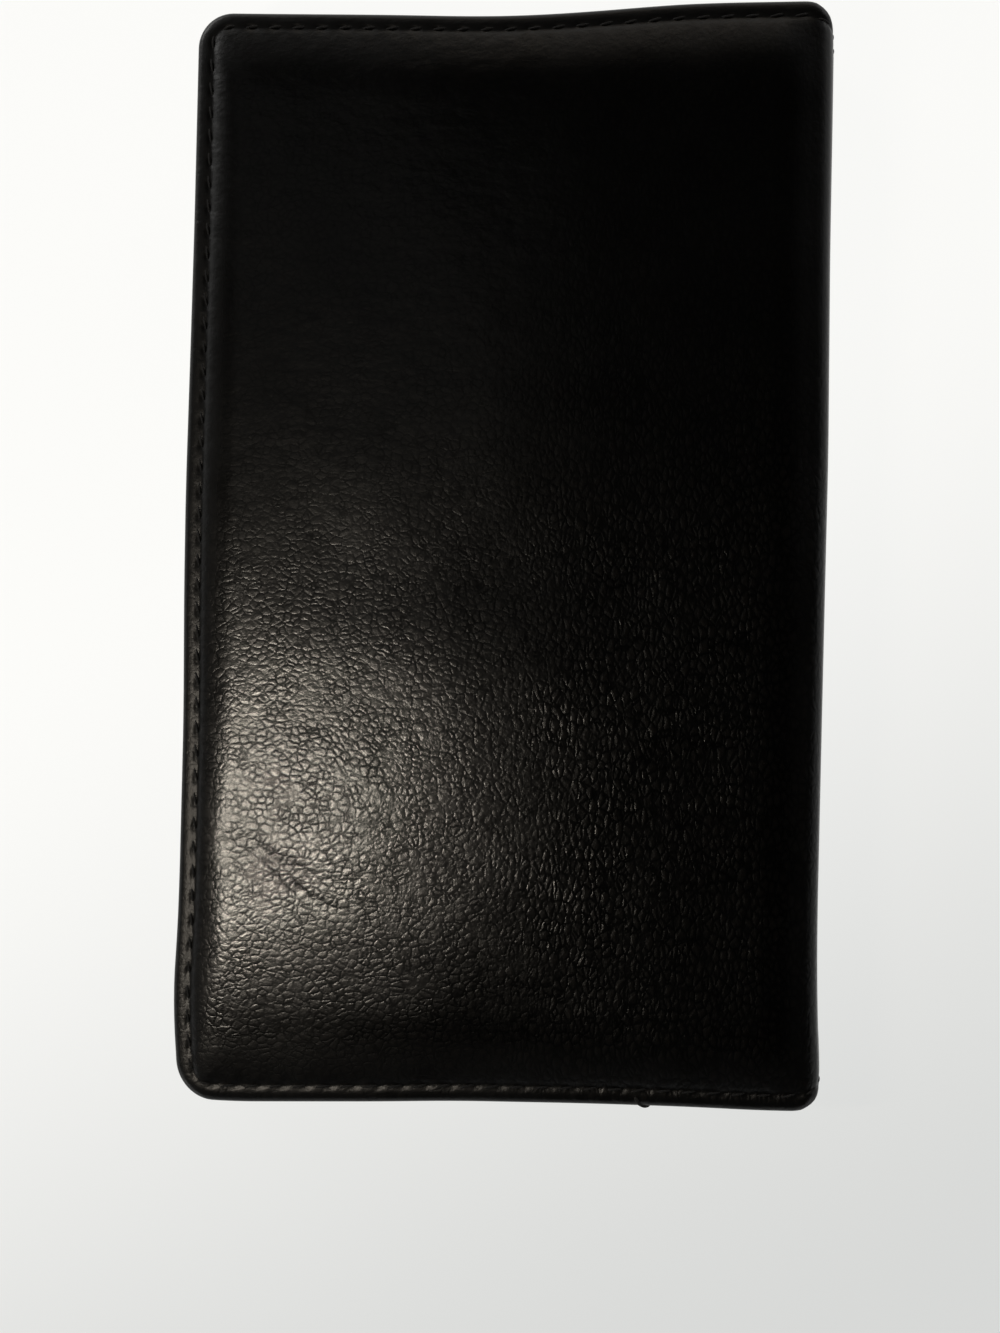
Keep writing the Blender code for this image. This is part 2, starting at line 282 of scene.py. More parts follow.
# The distance to the nearest wall of random cells.
def wallsOf(place, scale):
    inputs = {"Vector": place, "Scale": scale, "Randomness": 1.0}
    return addNode("TexVoronoi", inputs, feature="DISTANCE_TO_EDGE").outputs["Distance"]


# A colour between dark and light by a share.
def mixColour(share, dark, light):
    return addNode("Mix", {"Factor": share, 6: (*dark, 1), 7: (*light, 1)}, data_type="RGBA").outputs[2]


# Gives a shader its relief, by a height over a distance, and a colour between two by a share.
def giveSurface(shader, height, distance, share, dark, light, strength=1.0):
    bump = addNode("Bump", {"Height": height, "Distance": distance, "Strength": strength})
    feed(shader, "Normal", bump.outputs["Normal"])
    feed(shader, "Base Color", mixColour(share, dark, light))


coverFinish = dict(
    # dark is the hide's own black; the top colour and where it gives way are painted highlight and shade
    ior=1.42, dark=(0.0007, 0.0007, 0.0007), paintedTopHighlight=(0.0026, 0.0022, 0.0019), paintedCreaseShadeAt=(0.08, 0.4),
    # the length that heights are counted in; a noise is its scale, detail and roughness
    unit=0.0001,
    loosen=((1500.0, 0.00035), (260.0, 0.0009)),
    pebble=640.0, level=(0.90, 1.12, 1.0), upright=(1.22, 0.74, 1.0),
    uprightAt=(0.010, 0.050), uprightWander=0.05,
    pillow=0.20, rightPillow=0.52, pillowAt=(-0.020, 0.035), pillowTop=0.46,
    crease=0.15, creaseWidth=0.15, breaks=(230.0, 3.0), breaksAt=(0.35, 0.59), creaseLeast=0.35,
    smallPebble=1350.0, smallLoosen=(700.0, 0.0006), smallTop=0.3, smallPillow=0.07,
    patch=38.0, patchAt=(0.36, 0.66), patchLeast=0.80, slant=-0.25, lowerAt=(0.050, -0.020), upperLeast=0.25,
    wrinkle=1.35, wrinkleScale=(190.0, 330.0, 190.0), wrinkleNoise=(1.0, 2.5, 0.55),
    wrinkleUpAt=(-0.020, 0.050), wrinkleLeftAt=(0.045, -0.015), wrinkleLeast=0.25,
    borderAt=(0.0035, 0.0085), endShare=0.55, borderPebbles=0.75, borderCreases=0.3,
    borderRough=0.13, borderDull=0.40, speck=(900.0, 3.0, 0.7), speckle=0.45,
    pore=(5200.0, 3.0, 0.6), pores=0.012, creaseShine=0.09, pebbleShine=0.50,
    smudge=(60.0, 4.0, 0.6), smudgeAt=(0.3, 0.7), roughLow=0.21, roughHigh=0.26,
)


# Pebbled hide, in tenths of a millimetre: soft pillows with thin creases between them that come
# and go, level on the left and upright on the right, over soft wrinkles in the upper part and fine
# pores. Painted shade darkens the creases, in colour and by turning their shine down, and a painted
# highlight colours the pebble tops lighter and browner. The border has weaker pebbles, more specks
# and less shine.
def makeCoverFinish():
    use = coverFinish
    material, shader, place = newFinish("blackPebbledHide", IOR=use["ior"])
    loose = wander(wander(place, *use["loosen"][0]), *use["loosen"][1])
    axes = addNode("SeparateXYZ", {"Vector": place}).outputs

    # where the grain is strong, and where the border begins
    patches = noiseOf(place, use["patch"])
    slanted = multiplyAdd(axes["X"], use["slant"], axes["Y"])
    lower = mapRange(slanted, *use["lowerAt"], use["upperLeast"], 1.0)
    fromSide = doMath("SUBTRACT", halfWidth, doMath("ABSOLUTE", axes["X"]))
    fromEnd = multiply(doMath("SUBTRACT", halfHeight, doMath("ABSOLUTE", axes["Y"])), use["endShare"])
    inside = mapRange(doMath("MINIMUM", fromSide, fromEnd), *use["borderAt"])
    border = doMath("SUBTRACT", 1.0, inside)
    strength = multiply(lower, mapRange(patches, *use["patchAt"], use["patchLeast"], 1.0))
    strength = multiply(strength, multiplyAdd(inside, 1 - use["borderPebbles"], use["borderPebbles"]))

    # pebbles and creases
    walls = [
        wallsOf(scaled(loose, tuple(use["pebble"] * part for part in use[lie])), 1.0)
        for lie in ("level", "upright")
    ]
    rightSide = mapRange(multiplyAdd(patches, use["uprightWander"], axes["X"]), *use["uprightAt"])
    wall = addNode("Mix", {"Factor": rightSide, 2: walls[0], 3: walls[1]}, data_type="FLOAT").outputs[0]
    swell = mapRange(axes["X"], *use["pillowAt"], use["pillow"], use["rightPillow"])
    broken = mapRange(noiseOf(place, *use["breaks"]), *use["breaksAt"], use["creaseLeast"], 1.0)
    crease = multiply(doMath("SUBTRACT", mapRange(wall, 0.0, use["creaseWidth"]), 1.0), broken)
    small = mapRange(wallsOf(wander(place, *use["smallLoosen"]), use["smallPebble"]), 0.0, use["smallTop"])
    height = multiply(mapRange(wall, 0.0, use["pillowTop"]), swell)
    height = multiplyAdd(crease, use["crease"], height)
    height = multiply(multiplyAdd(small, use["smallPillow"], height), strength)

    # wrinkles, specks and pores
    upper = mapRange(axes["Y"], *use["wrinkleUpAt"])
    leftSide = mapRange(axes["X"], *use["wrinkleLeftAt"], use["wrinkleLeast"], 1.0)
    wrinkle = noiseOf(scaled(loose, use["wrinkleScale"]), *use["wrinkleNoise"])
    height = multiplyAdd(multiply(wrinkle, multiply(upper, leftSide)), use["wrinkle"], height)
    height = multiplyAdd(multiply(noiseOf(place, *use["speck"]), border), use["speckle"], height)
    height = multiplyAdd(noiseOf(place, *use["pore"]), use["pores"], height)
    # Painted highlight and shade in the colour: lighter, browner pebble tops and darker creases, most where
    # the grain is strong.
    paintedTopsAndCreases = multiply(mapRange(wall, *use["paintedCreaseShadeAt"]), strength)
    giveSurface(shader, height, use["unit"], paintedTopsAndCreases, use["dark"], use["paintedTopHighlight"])

    # gloss
    # Painted shade: the shine falls in the creases, so they stay dark whatever the light.
    shade = multiply(strength, multiplyAdd(inside, 1 - use["borderCreases"], use["borderCreases"]))
    shade = multiplyAdd(crease, shade, 1.0)
    shine = mapRange(shade, 0.0, 1.0, use["creaseShine"], use["pebbleShine"], smooth=False)
    feed(shader, "Specular IOR Level", multiply(shine, multiplyAdd(border, -use["borderDull"], 1.0)))
    smudges = noiseOf(place, *use["smudge"])
    rough = mapRange(smudges, *use["smudgeAt"], use["roughLow"], use["roughHigh"], smooth=False)
    feed(shader, "Roughness", multiplyAdd(border, use["borderRough"], rough))
    return material


coverThread = dict(
    colour=(0.0010, 0.0010, 0.0010), fibre=(0.0040, 0.0037, 0.0034), roughness=0.75, gloss=0.22,
)
innerThread = dict(
    colour=(0.060, 0.058, 0.056), fibre=(0.160, 0.155, 0.148), roughness=0.62, gloss=0.4,
)
threadPlies = dict(scale=1500.0, twist=1.5, fibres=9000.0, fibreShare=0.4, bump=0.00005, strength=0.8)


# Waxed thread: slanting waves across it for its plies, over fine fibre noise.
def makeThreadFinish(name, thread):
    constants = dict(Roughness=thread["roughness"], Specular_IOR_Level=thread["gloss"])
    material, shader, place = newFinish(name, **constants)
    plies = wavesOf(place, threadPlies["scale"], "DIAGONAL", Distortion=threadPlies["twist"], Detail=1.0)
    fibres = noiseOf(place, threadPlies["fibres"])
    height = multiplyAdd(fibres, threadPlies["fibreShare"], plies)
    giveSurface(shader, height, threadPlies["bump"], fibres, thread["colour"], thread["fibre"],
                threadPlies["strength"])
    return material


pocketFinish = dict(
    ior=1.46, dark=(0.0110, 0.0104, 0.0100), light=(0.0240, 0.0224, 0.0212), loosen=(500.0, 0.0008),
    grain=1000.0, grainTop=0.22, pore=(6000.0, 3.0, 0.6), pores=0.12, bump=0.00006,
    fold=0.10, foldScale=(220.0, 120.0, 150.0), foldNoise=(1.0, 3.0), foldWidth=0.02,
    smudge=(70.0, 4.0, 0.6), smudgeAt=(0.3, 0.7), mottleAt=(0.35, 0.7), roughLow=0.28, roughHigh=0.42,
)


# Smooth lining leather: fine flat cells over pores, thin folds where noise passes through its
# middle value, and soft smudges in gloss and colour.
def makePocketFinish():
    use = pocketFinish
    material, shader, place = newFinish("blackPocketLeather", IOR=use["ior"])
    loose = wander(place, *use["loosen"])
    grain = mapRange(wallsOf(loose, use["grain"]), 0.0, use["grainTop"])
    noise = noiseOf(scaled(loose, use["foldScale"]), *use["foldNoise"])
    folds = mapRange(doMath("ABSOLUTE", doMath("SUBTRACT", noise, 0.5)), 0.0, use["foldWidth"])
    height = multiplyAdd(noiseOf(place, *use["pore"]), use["pores"], grain)
    height = multiplyAdd(folds, use["fold"], height)
    smudges = noiseOf(place, *use["smudge"])
    mottle = multiply(grain, mapRange(smudges, *use["mottleAt"]))
    giveSurface(shader, height, use["bump"], mottle, use["dark"], use["light"])
    rough = mapRange(smudges, *use["smudgeAt"], use["roughLow"], use["roughHigh"], smooth=False)
    feed(shader, "Roughness", rough)
    return material


twillFinish = dict(
    dark=(0.026, 0.026, 0.029), light=(0.100, 0.100, 0.108), loosen=(300.0, 0.00012),
    rib=420.0, thread=150.0, threads=0.35, fibre=(4000.0, 3.0, 0.6), fibres=0.25, bump=0.00008,
    fibreAt=(0.2, 0.8), fibreLeast=0.5,
)


# Twill: slanting ribs crossed by fine threads, on a soft sheen.
def makeTwillFinish():
    use = twillFinish
    material, shader, place = newFinish("blackTwill", Roughness=0.62, Sheen_Weight=0.25, Sheen_Roughness=0.4)
    loose = wander(place, *use["loosen"])
    ribs = wavesOf(loose, use["rib"], "DIAGONAL")
    fibres = noiseOf(place, *use["fibre"])
    height = multiplyAdd(wavesOf(loose, use["thread"], "Y"), use["threads"], ribs)
    height = multiplyAdd(fibres, use["fibres"], height)
    shade = multiply(ribs, mapRange(fibres, *use["fibreAt"], use["fibreLeast"], 1.0))
    giveSurface(shader, height, use["bump"], shade, use["dark"], use["light"])
    return material


gussetFinish = dict(
    dark=(0.018, 0.018, 0.020), light=(0.075, 0.075, 0.082), loosen=(500.0, 0.0001),
    rib=330.0, cross=0.5, fibre=(3500.0, 3.0, 0.6), fibres=0.3, bump=0.00010,
)


# Ribbed gusset cloth: close ribs up the strip, with fibres across them.
def makeGussetFinish():
    use = gussetFinish
    material, shader, place = newFinish("ribbedGussetCloth", Roughness=0.7, Sheen_Weight=0.3,
                                        Sheen_Roughness=0.5)
    ribs = wavesOf(wander(place, *use["loosen"]), use["rib"], "Y")
    fibres = noiseOf(place, *use["fibre"])
    cross = wavesOf(place, use["rib"], "X")
    height = multiplyAdd(cross, use["cross"], multiplyAdd(fibres, use["fibres"], ribs))
    giveSurface(shader, height, use["bump"], multiply(ribs, fibres), use["dark"], use["light"])
    return material


feltFinish = dict(
    dark=(0.20, 0.20, 0.20), light=(0.42, 0.41, 0.40), along=2600.0, across=500.0, through=900.0,
    fibre=(1.0, 4.0, 0.6), shadeAt=(0.4, 0.8), bump=0.0002,
)


# Needled felt: matted fibres as stretched noise of two directions.
def makeFeltFinish():
    use = feltFinish
    material, shader, place = newFinish("greyFelt", Roughness=0.95, Sheen_Weight=0.4)
    one = noiseOf(scaled(place, (use["along"], use["across"], use["through"])), *use["fibre"])
    two = noiseOf(scaled(place, (use["across"], use["along"], use["through"])), *use["fibre"])
    mat = doMath("MAXIMUM", one, two)
    giveSurface(shader, mat, use["bump"], mapRange(mat, *use["shadeAt"]), use["dark"], use["light"])
    return material


boardFinish = dict(
    dark=(0.13, 0.09, 0.06), light=(0.30, 0.22, 0.15), pulp=(900.0, 5.0, 0.65), bump=0.00004,
    fleck=(300.0, 1100.0, 700.0), fleckAt=(0.05, 0.5), fleckLeast=0.5, shadeAt=(0.2, 0.6),
)


# Fibre board: pressed brown pulp with flecks and a dull, faintly pitted face.
def makeBoardFinish():
    use = boardFinish
    material, shader, place = newFinish("fibreBoard", Roughness=0.85)
    pulp = noiseOf(place, *use["pulp"])
    inputs = {"Vector": scaled(place, use["fleck"]), "Scale": 1.0}
    flecks = addNode("TexVoronoi", inputs, feature="F1").outputs["Distance"]
    shade = multiply(pulp, mapRange(flecks, *use["fleckAt"], use["fleckLeast"], 1.0))
    giveSurface(shader, shade, use["bump"], mapRange(shade, *use["shadeAt"]), use["dark"], use["light"])
    return material


hideLeather = makeCoverFinish()
pocketLeather = makePocketFinish()
twill = makeTwillFinish()
gussetCloth = makeGussetFinish()
blackThread = makeThreadFinish("waxedBlackThread", coverThread)
greyThread = makeThreadFinish("waxedGreyThread", innerThread)
felt = makeFeltFinish()
fibreBoard = makeBoardFinish()
print("finishes made")


# Studio


shot = dict(
    place=(0.0411, -0.0404, 0.4200), turn=(2.586, 5.835, 0.971), longSide=1333, focalPixels=2043.1,
    sensor=36.0, nearest=0.01,
)


# A camera whose lens is its focal length in pixels, times the sensor's width over the long side.
def makeCamera():
    data = bpy.data.cameras.new("camera")
    data.sensor_width = shot["sensor"]
    data.lens = data.sensor_width * shot["focalPixels"] / shot["longSide"]
    data.clip_start = shot["nearest"]
    camera = bpy.data.objects.new("camera", data)
    camera.location = shot["place"]
    camera.rotation_euler = [math.radians(a) for a in shot["turn"]]
    bpy.context.scene.collection.objects.link(camera)
    bpy.context.scene.camera = camera


white, warm = (1.0, 0.99, 0.97), (1.0, 0.90, 0.76)
studio = dict(
    floorZ=-0.0003, floorRings=[0.05, 0.5, 1.2], floorRadius=2.4, sweepRadius=0.6, wallHeight=1.1,
    sweepSteps=17, turnSteps=97,
    paintedShadeNear=(0.71, 0.72, 0.71), unshadedFar=(1.0, 1.0, 0.98), shadeGradientFrom=-0.20, shadeGradientTo=0.03, shadeGradientSlant=-0.45,
    seenShare=0.93, seenStrength=1.0, world=0.006,
    lamps=[
        # name, place, aimed at, size x, size y, watts, colour
        ("glowLamp", (-0.170, -0.070, 0.36), (-0.050, -0.040, 0.02), 0.016, 0.100, 0.62, warm),
        ("highBox", (-0.32, 0.30, 1.00), (-0.03, 0.03, 0), 0.35, 0.5, 0.05, (1.0, 1.0, 0.98)),
        ("backLeftBox", (-1.10, 1.15, 0.55), (0, 0, 0), 0.9, 0.5, 10.0, white),
        ("backRightBox", (0.95, 1.30, 0.55), (0, 0, 0), 0.9, 0.5, 4.0, white),
        ("frontLeftBox", (-1.15, -1.10, 0.42), (0, 0, 0), 0.9, 0.5, 4.0, white),
        ("frontRightBox", (1.15, -1.10, 0.42), (0, 0, 0), 0.9, 0.5, 3.0, white),
        ("topBox", (0.00, 1.55, 0.85), (0, 0, 0), 0.6, 0.25, 0.95, (1.0, 0.82, 0.62)),
    ],
)


# The pale paper: it is lit as any surface is, and what the camera, mirrors and glass see of it is
# mostly its own plain colour. That colour carries painted shade, darker towards the front right.
def makePaper():
    material, shader, place = newFinish("palePaper", Roughness=0.9)
    tree = material.node_tree
    axes = addNode("SeparateXYZ", {"Vector": place}).outputs
    # Painted shade: the paper's colour darkens towards the front right.
    across = multiplyAdd(axes["X"], studio["shadeGradientSlant"], axes["Y"])
    far = mapRange(across, studio["shadeGradientFrom"], studio["shadeGradientTo"])
    pale = mixColour(far, studio["paintedShadeNear"], studio["unshadedFar"])
    feed(shader, "Base Color", pale)
    rays = tree.nodes.new("ShaderNodeLightPath").outputs
    seen = doMath("MAXIMUM", rays["Is Camera Ray"], rays["Is Glossy Ray"])
    seen = doMath("MAXIMUM", seen, rays["Is Transmission Ray"])
    plain = addNode("Emission", {"Color": pale, "Strength": studio["seenStrength"]}).outputs[0]
    mix = addNode("MixShader", {0: multiply(seen, studio["seenShare"]), 1: shader.outputs[0], 2: plain})
    tree.links.new(mix.outputs[0], tree.nodes["Material Output"].inputs["Surface"])
    return material


# A floor that sweeps up into a wall all round: a profile of floor, quarter circle and wall,
# turned round the upright axis.
def makeStudio():
    r, sweep = studio["floorRadius"], studio["sweepRadius"]
    arc = np.linspace(0, math.pi / 2, studio["sweepSteps"])
    radius = np.concatenate([studio["floorRings"], r - sweep + sweep * np.sin(arc), [r]])
    flat = np.zeros(len(studio["floorRings"]))
    height = np.concatenate([flat, sweep * (1 - np.cos(arc)), [studio["wallHeight"]]])
    angle = np.linspace(0, 2 * math.pi, studio["turnSteps"])[:-1]
    ring = np.stack([np.outer(radius, np.cos(angle)), np.outer(radius, np.sin(angle)),
                     np.repeat(height[:, None], len(angle), 1) + studio["floorZ"]], -1)
    index = np.arange(ring.shape[0] * len(angle)).reshape(ring.shape[0], len(angle))
    index = np.concatenate([index, index[:, :1]], 1)
    faces = gridFaces(index)[:, ::-1].tolist() + [list(range(len(angle)))]
    makePiece("paperSweep", ring, faces, makePaper(), None, closed=False)
    for name, place, target, sizeX, sizeY, watts, colour in studio["lamps"]:
        data = bpy.data.lights.new(name, "AREA")
        data.shape, data.size, data.size_y = "RECTANGLE", sizeX, sizeY
        data.energy, data.color = watts, colour
        lamp = bpy.data.objects.new(name, data)
        lamp.location = place
        away = lamp.location - type(lamp.location)(target)
        lamp.rotation_euler = away.to_track_quat("Z", "Y").to_euler()
        bpy.context.scene.collection.objects.link(lamp)
    world = bpy.data.worlds.new("studioAir")
    bpy.context.scene.world = world
    world.use_nodes = True
    air = world.node_tree.nodes["Background"].inputs
    air["Color"].default_value = (1, 1, 1, 1)
    air["Strength"].default_value = studio["world"]
    bpy.context.scene.view_settings.view_transform = "Standard"


makeCamera()
makeStudio()
print("camera, floor and lamps set")


# Covers


cover = dict(
    pitch=0.00066, edgeSteps=10, seamRings=10, returnSteps=5, innerRings=7, arcSteps=13, leastCorner=1e-5,
    hingePinch=0.65, pinchReach=0.0015,
    seamInset=0.0031, grooveDepth=0.00008, grooveWidth=0.00095,
    holeDepth=0.00024, holeWidth=0.00055, holeLength=0.0008,
    pucker=0.00003, puckerInset=0.0046, puckerWidth=0.0009, borderFall=0.00030, rollStart=0.35,
    turnIn=(0.0040, 0.0079), turnInBite=0.0001, innerStep=0.0008,
    dome=0.0016, wave=0.00003, waveLength=0.040, reliefEnd=0.012,
    crease=0.00002, creaseLength=0.011, creaseWidth=0.22, creaseStretch=(1.0, 0.4),  # back, front
    clothPitch=0.0030, clothStart=(0.0001, 0.012), clothPressure=4.0, clothSlack=0.02, clothBend=0.1,
    clothFrames=20, clothTop=0.0120, evenings=12,
    troughDepth=0.00016, troughWidth=0.0011, troughEnd=0.02, troughFade=0.7,
    troughs=[  # x and y in millimetres along each trough of the front, and its depth against the others
        ([(-56.0, -55.5), (-50.0, -57.5), (-44.5, -61.2), (-40.0, -66.0), (-36.5, -69.0)], 1.0),
        ([(-55.5, -59.0), (-51.0, -61.2), (-47.0, -64.8), (-44.0, -69.0)], 0.8),
        ([(-47.0, -59.0), (-42.0, -61.8), (-37.0, -64.0), (-31.0, -66.8)], 0.7),
        ([(-44.0, -65.5), (-39.0, -67.2), (-34.5, -70.0), (-29.0, -71.2)], 0.6),
        ([(13.0, -93.5), (26.0, -92.0), (42.0, -92.5)], 0.35),
    ],
)

seam = dict(
    pitch=0.00475, radius=0.00023, gap=0.0013, slant=0.00030, rise=0.00002, sink=0.00055,
    runSteps=(600, 900), tailSteps=41, tailEvenings=8, tailShare=0.998,
    tail=[  # the loose end's way, in tenths of a millimetre
        (275, -1054, 224), (281, -1064, 227), (286, -1072, 222), (294, -1077, 213), (302, -1076, 208),
        (305, -1071, 209),
    ],
    tailRadius=0.00042,
)


# The half outline at an inset, from the middle of the spine along the top, round the fore edge and
# back along the bottom, as columns + side + columns points evenly spread on each of the three parts.
def outlineAt(inset, radius, columns, rows):
    radius = max(radius, cover["leastCorner"])
    arc = np.linspace(0, math.pi / 4, cover["arcSteps"])
    cf, cy = inset + radius, halfHeight - inset - radius
    top = np.stack([np.concatenate([[halfHide], cf - radius * np.sin(arc)]),
                    np.concatenate([[cy + radius], cy + radius * np.cos(arc)])], -1)
    arc = np.linspace(math.pi / 4, math.pi / 2, cover["arcSteps"])
    upper = np.stack([cf - radius * np.sin(arc), cy + radius * np.cos(arc)], -1)
    side = np.concatenate([upper, upper[::-1] * (1, -1)])
    parts = []
    for line, count in ((top, columns), (side, rows), (top[::-1] * (1, -1), columns)):
        length = runOf(line)
        at = np.linspace(0, length[-1], count + 1)
        parts.append(np.stack([np.interp(at, length, line[:, 0]), np.interp(at, length, line[:, 1])], -1))
    return np.concatenate([parts[0], parts[1][1:], parts[2][1:]])


# Cloth pinned along the seam and blown up from below, which swells between the seams and puckers
# beside them.
def swollenLift(front):
    nf, ny = round(leafLength / cover["clothPitch"]), round(2 * halfHeight / cover["clothPitch"])
    f, y = np.meshgrid(np.linspace(0, leafLength, nf + 1), np.linspace(-halfHeight, halfHeight, ny + 1))
    scene = bpy.context.scene
    uneven, length = cover["clothStart"]
    start = np.stack([f, y, uneven * softNoise(f, y, length, 5 + front)], -1)
    faces = gridFaces(np.arange(f.size).reshape(f.shape)).tolist()
    pad = makePiece("swelling", start, faces, blackThread, None, closed=False)
    held = pad.vertex_groups.new(name="sewn")
    sewn = (insetOf(f, y) < hide["seamBorder"]) | (f > leafLength - hide["foldFall"] / 2)
    held.add(np.flatnonzero(sewn.ravel()).tolist(), 1.0, "REPLACE")
    cloth = pad.modifiers.new("cloth", "CLOTH").settings
    cloth.quality, cloth.vertex_group_mass = 5, "sewn"
    cloth.use_pressure, cloth.uniform_pressure_force = True, cover["clothPressure"]
    cloth.shrink_min = cloth.shrink_max = -cover["clothSlack"]
    cloth.bending_stiffness = cover["clothBend"]
    cloth.effector_weights.gravity = 0
    for number in range(1, cover["clothFrames"] + 1):
        scene.frame_set(number)
    blown = pad.evaluated_get(bpy.context.evaluated_depsgraph_get()).data
    place = np.empty(f.size * 3)
    blown.vertices.foreach_get("co", place)
    lift = np.clip(place[2::3].reshape(f.shape), 0, cover["clothTop"])
    scene.frame_set(1)
    bpy.data.objects.remove(pad)
    for _ in range(cover["evenings"]):  # evened out with the neighbours on both sides
        around = np.pad(lift, 1, mode="edge")
        lift = (around[1:-1, :-2] + around[1:-1, 2:] + around[:-2, 1:-1] + around[2:, 1:-1] + 2 * lift) / 6
    return lift / lift.max()


# Reads the lift between its grid points, straight along both directions.
def liftAt(lift, f, y):
    a = np.clip(f / leafLength, 0, 0.9999) * (lift.shape[1] - 1)
    b = np.clip((y + halfHeight) / (2 * halfHeight), 0, 0.9999) * (lift.shape[0] - 1)
    i, j = a.astype(int), b.astype(int)
    u, v = a - i, b - j
    low = lift[j, i] * (1 - u) + lift[j, i + 1] * u
    high = lift[j + 1, i] * (1 - u) + lift[j + 1, i + 1] * u
    return low * (1 - v) + high * v


outline = dict(
    fade=0.025, spineFrom=0.030, average=(-0.006, -0.003, 0, 0.003, 0.006),
    # places along each edge of the front and how far it stands out there, in millimetres
    fore=[(-112, -0.9), (-96, 0.35), (-90, 1.00), (-85, 0.80), (-79, 0.45), (-68, 0.2), (-34, 0.15),
          (-8, 0.65), (12, 0.78), (40, 0.5), (65, 0.3), (108, 0.25)],
    foot=[(-63, 0.9), (-54, 1.48), (-40, 1.05), (-20, 0.38), (-8, -0.2), (19, -0.57), (39, -0.57),
          (53, -0.3), (64, -0.6)],
    top=[(-63, 0.5), (-54, 0.18), (-40, -0.23), (-30, -0.5), (-20, -0.83), (-8, -1.35), (4, -1.4),
         (19, -0.7), (30, 0.05), (39, 0.38), (63, 0.3)],
    # and the spine's, which both covers share
    spine=[(-106, 0.35), (-100.5, 0.5), (-98, 0.15), (-86, -0.3), (-72, -0.4), (-48, -0.1), (-28, 0.16),
           (0, 0.55), (20, 0.84), (60, 0.8), (90, 1.05), (108, 1.1)],
)


# How far an edge stands out at a place: read off its list, and averaged over five places near by.
def edgePush(name, at):
    knots = np.array(outline[name]) / 1000
    return sum(np.interp(at + step, *knots.T) for step in outline["average"]) / len(outline["average"])


# A place on a cover, pushed along the leaf as its edges stand out, wrapped and raised by h; last
# of all the spine's push moves the part near it outwards.
def coverPlace(f, y, h, front):
    x = f - halfWidth
    if front:
        foreEdge = 1 - smoothStep(f, 0, outline["fade"])
        topEdge = smoothStep(y, halfHeight - outline["fade"], halfHeight)
        footEdge = smoothStep(-y, halfHeight - outline["fade"], halfHeight)
        f = f - edgePush("fore", y) * foreEdge
        y = y + edgePush("top", x) * topEdge - edgePush("foot", x) * footEdge
    place = wrapHide(f, y, h, front)
    nearSpine = smoothStep(place[..., 0], outline["spineFrom"], foldX)
    place[..., 0] += edgePush("spine", place[..., 1]) * nearSpine
    return place


borderEnd = hide["edgeDepth"] / 2 * (1 - math.sin(cover["rollStart"]))


# The seam's own run: the half outline at the seam's inset, with its length from the spine's middle.
def seamRun(columns, rows):
    line = outlineAt(cover["seamInset"], hide["cornerRadius"] - cover["seamInset"], columns, rows)
    return line, runOf(line)


# The leather's relief near the seam, by length along the seam and by inset: a groove, a hole at
# each end of a stitch, puckers in the shoulder between the holes, and a fall to the edge.
def seamRelief(along, inset):
    toHole = (along / seam["pitch"] + 0.5) % 1 - 0.5
    off = inset - cover["seamInset"]
    groove = cover["grooveDepth"] * bell(off, cover["grooveWidth"])
    holes = cover["holeDepth"] * bell(toHole * seam["pitch"], cover["holeLength"])
    holes = holes * bell(off, cover["holeWidth"])
    pucker = cover["pucker"] * np.cos(2 * math.pi * toHole)
    pucker = pucker * bell(inset - cover["puckerInset"], cover["puckerWidth"])
    fall = cover["borderFall"] * np.clip(-off / (cover["seamInset"] - borderEnd), 0, 1) ** 2
    return -groove - holes - pucker - fall


# Troughs where the front has creased: a bell across each polyline, that fades out at its ends.
def troughRelief(x, y):
    total = np.zeros(np.broadcast(x, y).shape)
    for line, share in cover["troughs"]:
        line = np.array(line) / 1000
        start, step = line[:-1], np.diff(line, axis=0)
        size = np.hypot(*step.T)
        placeX, placeY = x[..., None] - start[:, 0], y[..., None] - start[:, 1]
        along = np.clip((placeX * step[:, 0] + placeY * step[:, 1]) / size**2, 0, 1)
        away = np.hypot(placeX - along * step[:, 0], placeY - along * step[:, 1])
        run = np.cumsum(np.append(0, size[:-1])) + along * size
        way = np.take_along_axis(run, away.argmin(-1)[..., None], -1)[..., 0] / size.sum()
        way = np.clip(way, cover["troughEnd"], 1 - cover["troughEnd"])
        fade = np.sin(way * math.pi) ** cover["troughFade"]
        total -= share * cover["troughDepth"] * fade * bell(away.min(-1), cover["troughWidth"])
    return total


# Broad relief of the face: the swollen dome, soft waves, and shallow wandering creases.
def faceRelief(f, y, inset, lift, front):
    onLeaf = 1 - smoothStep(f, leafLength - cover["reliefEnd"], leafLength)
    wave = cover["wave"] * softNoise(f, y, cover["waveLength"], 21 + front)
    stretch = cover["creaseStretch"][front]
    lines = np.abs(softNoise(f, y, cover["creaseLength"], 33 + front, stretch=stretch))
    crease = -cover["crease"] * bell(lines, cover["creaseWidth"])
    dome = cover["dome"] * liftAt(lift, f, y) + troughRelief(f - halfWidth, y) if front else 0
    return (dome + wave + crease) * smoothStep(inset, *shoulderSpan) * onLeaf


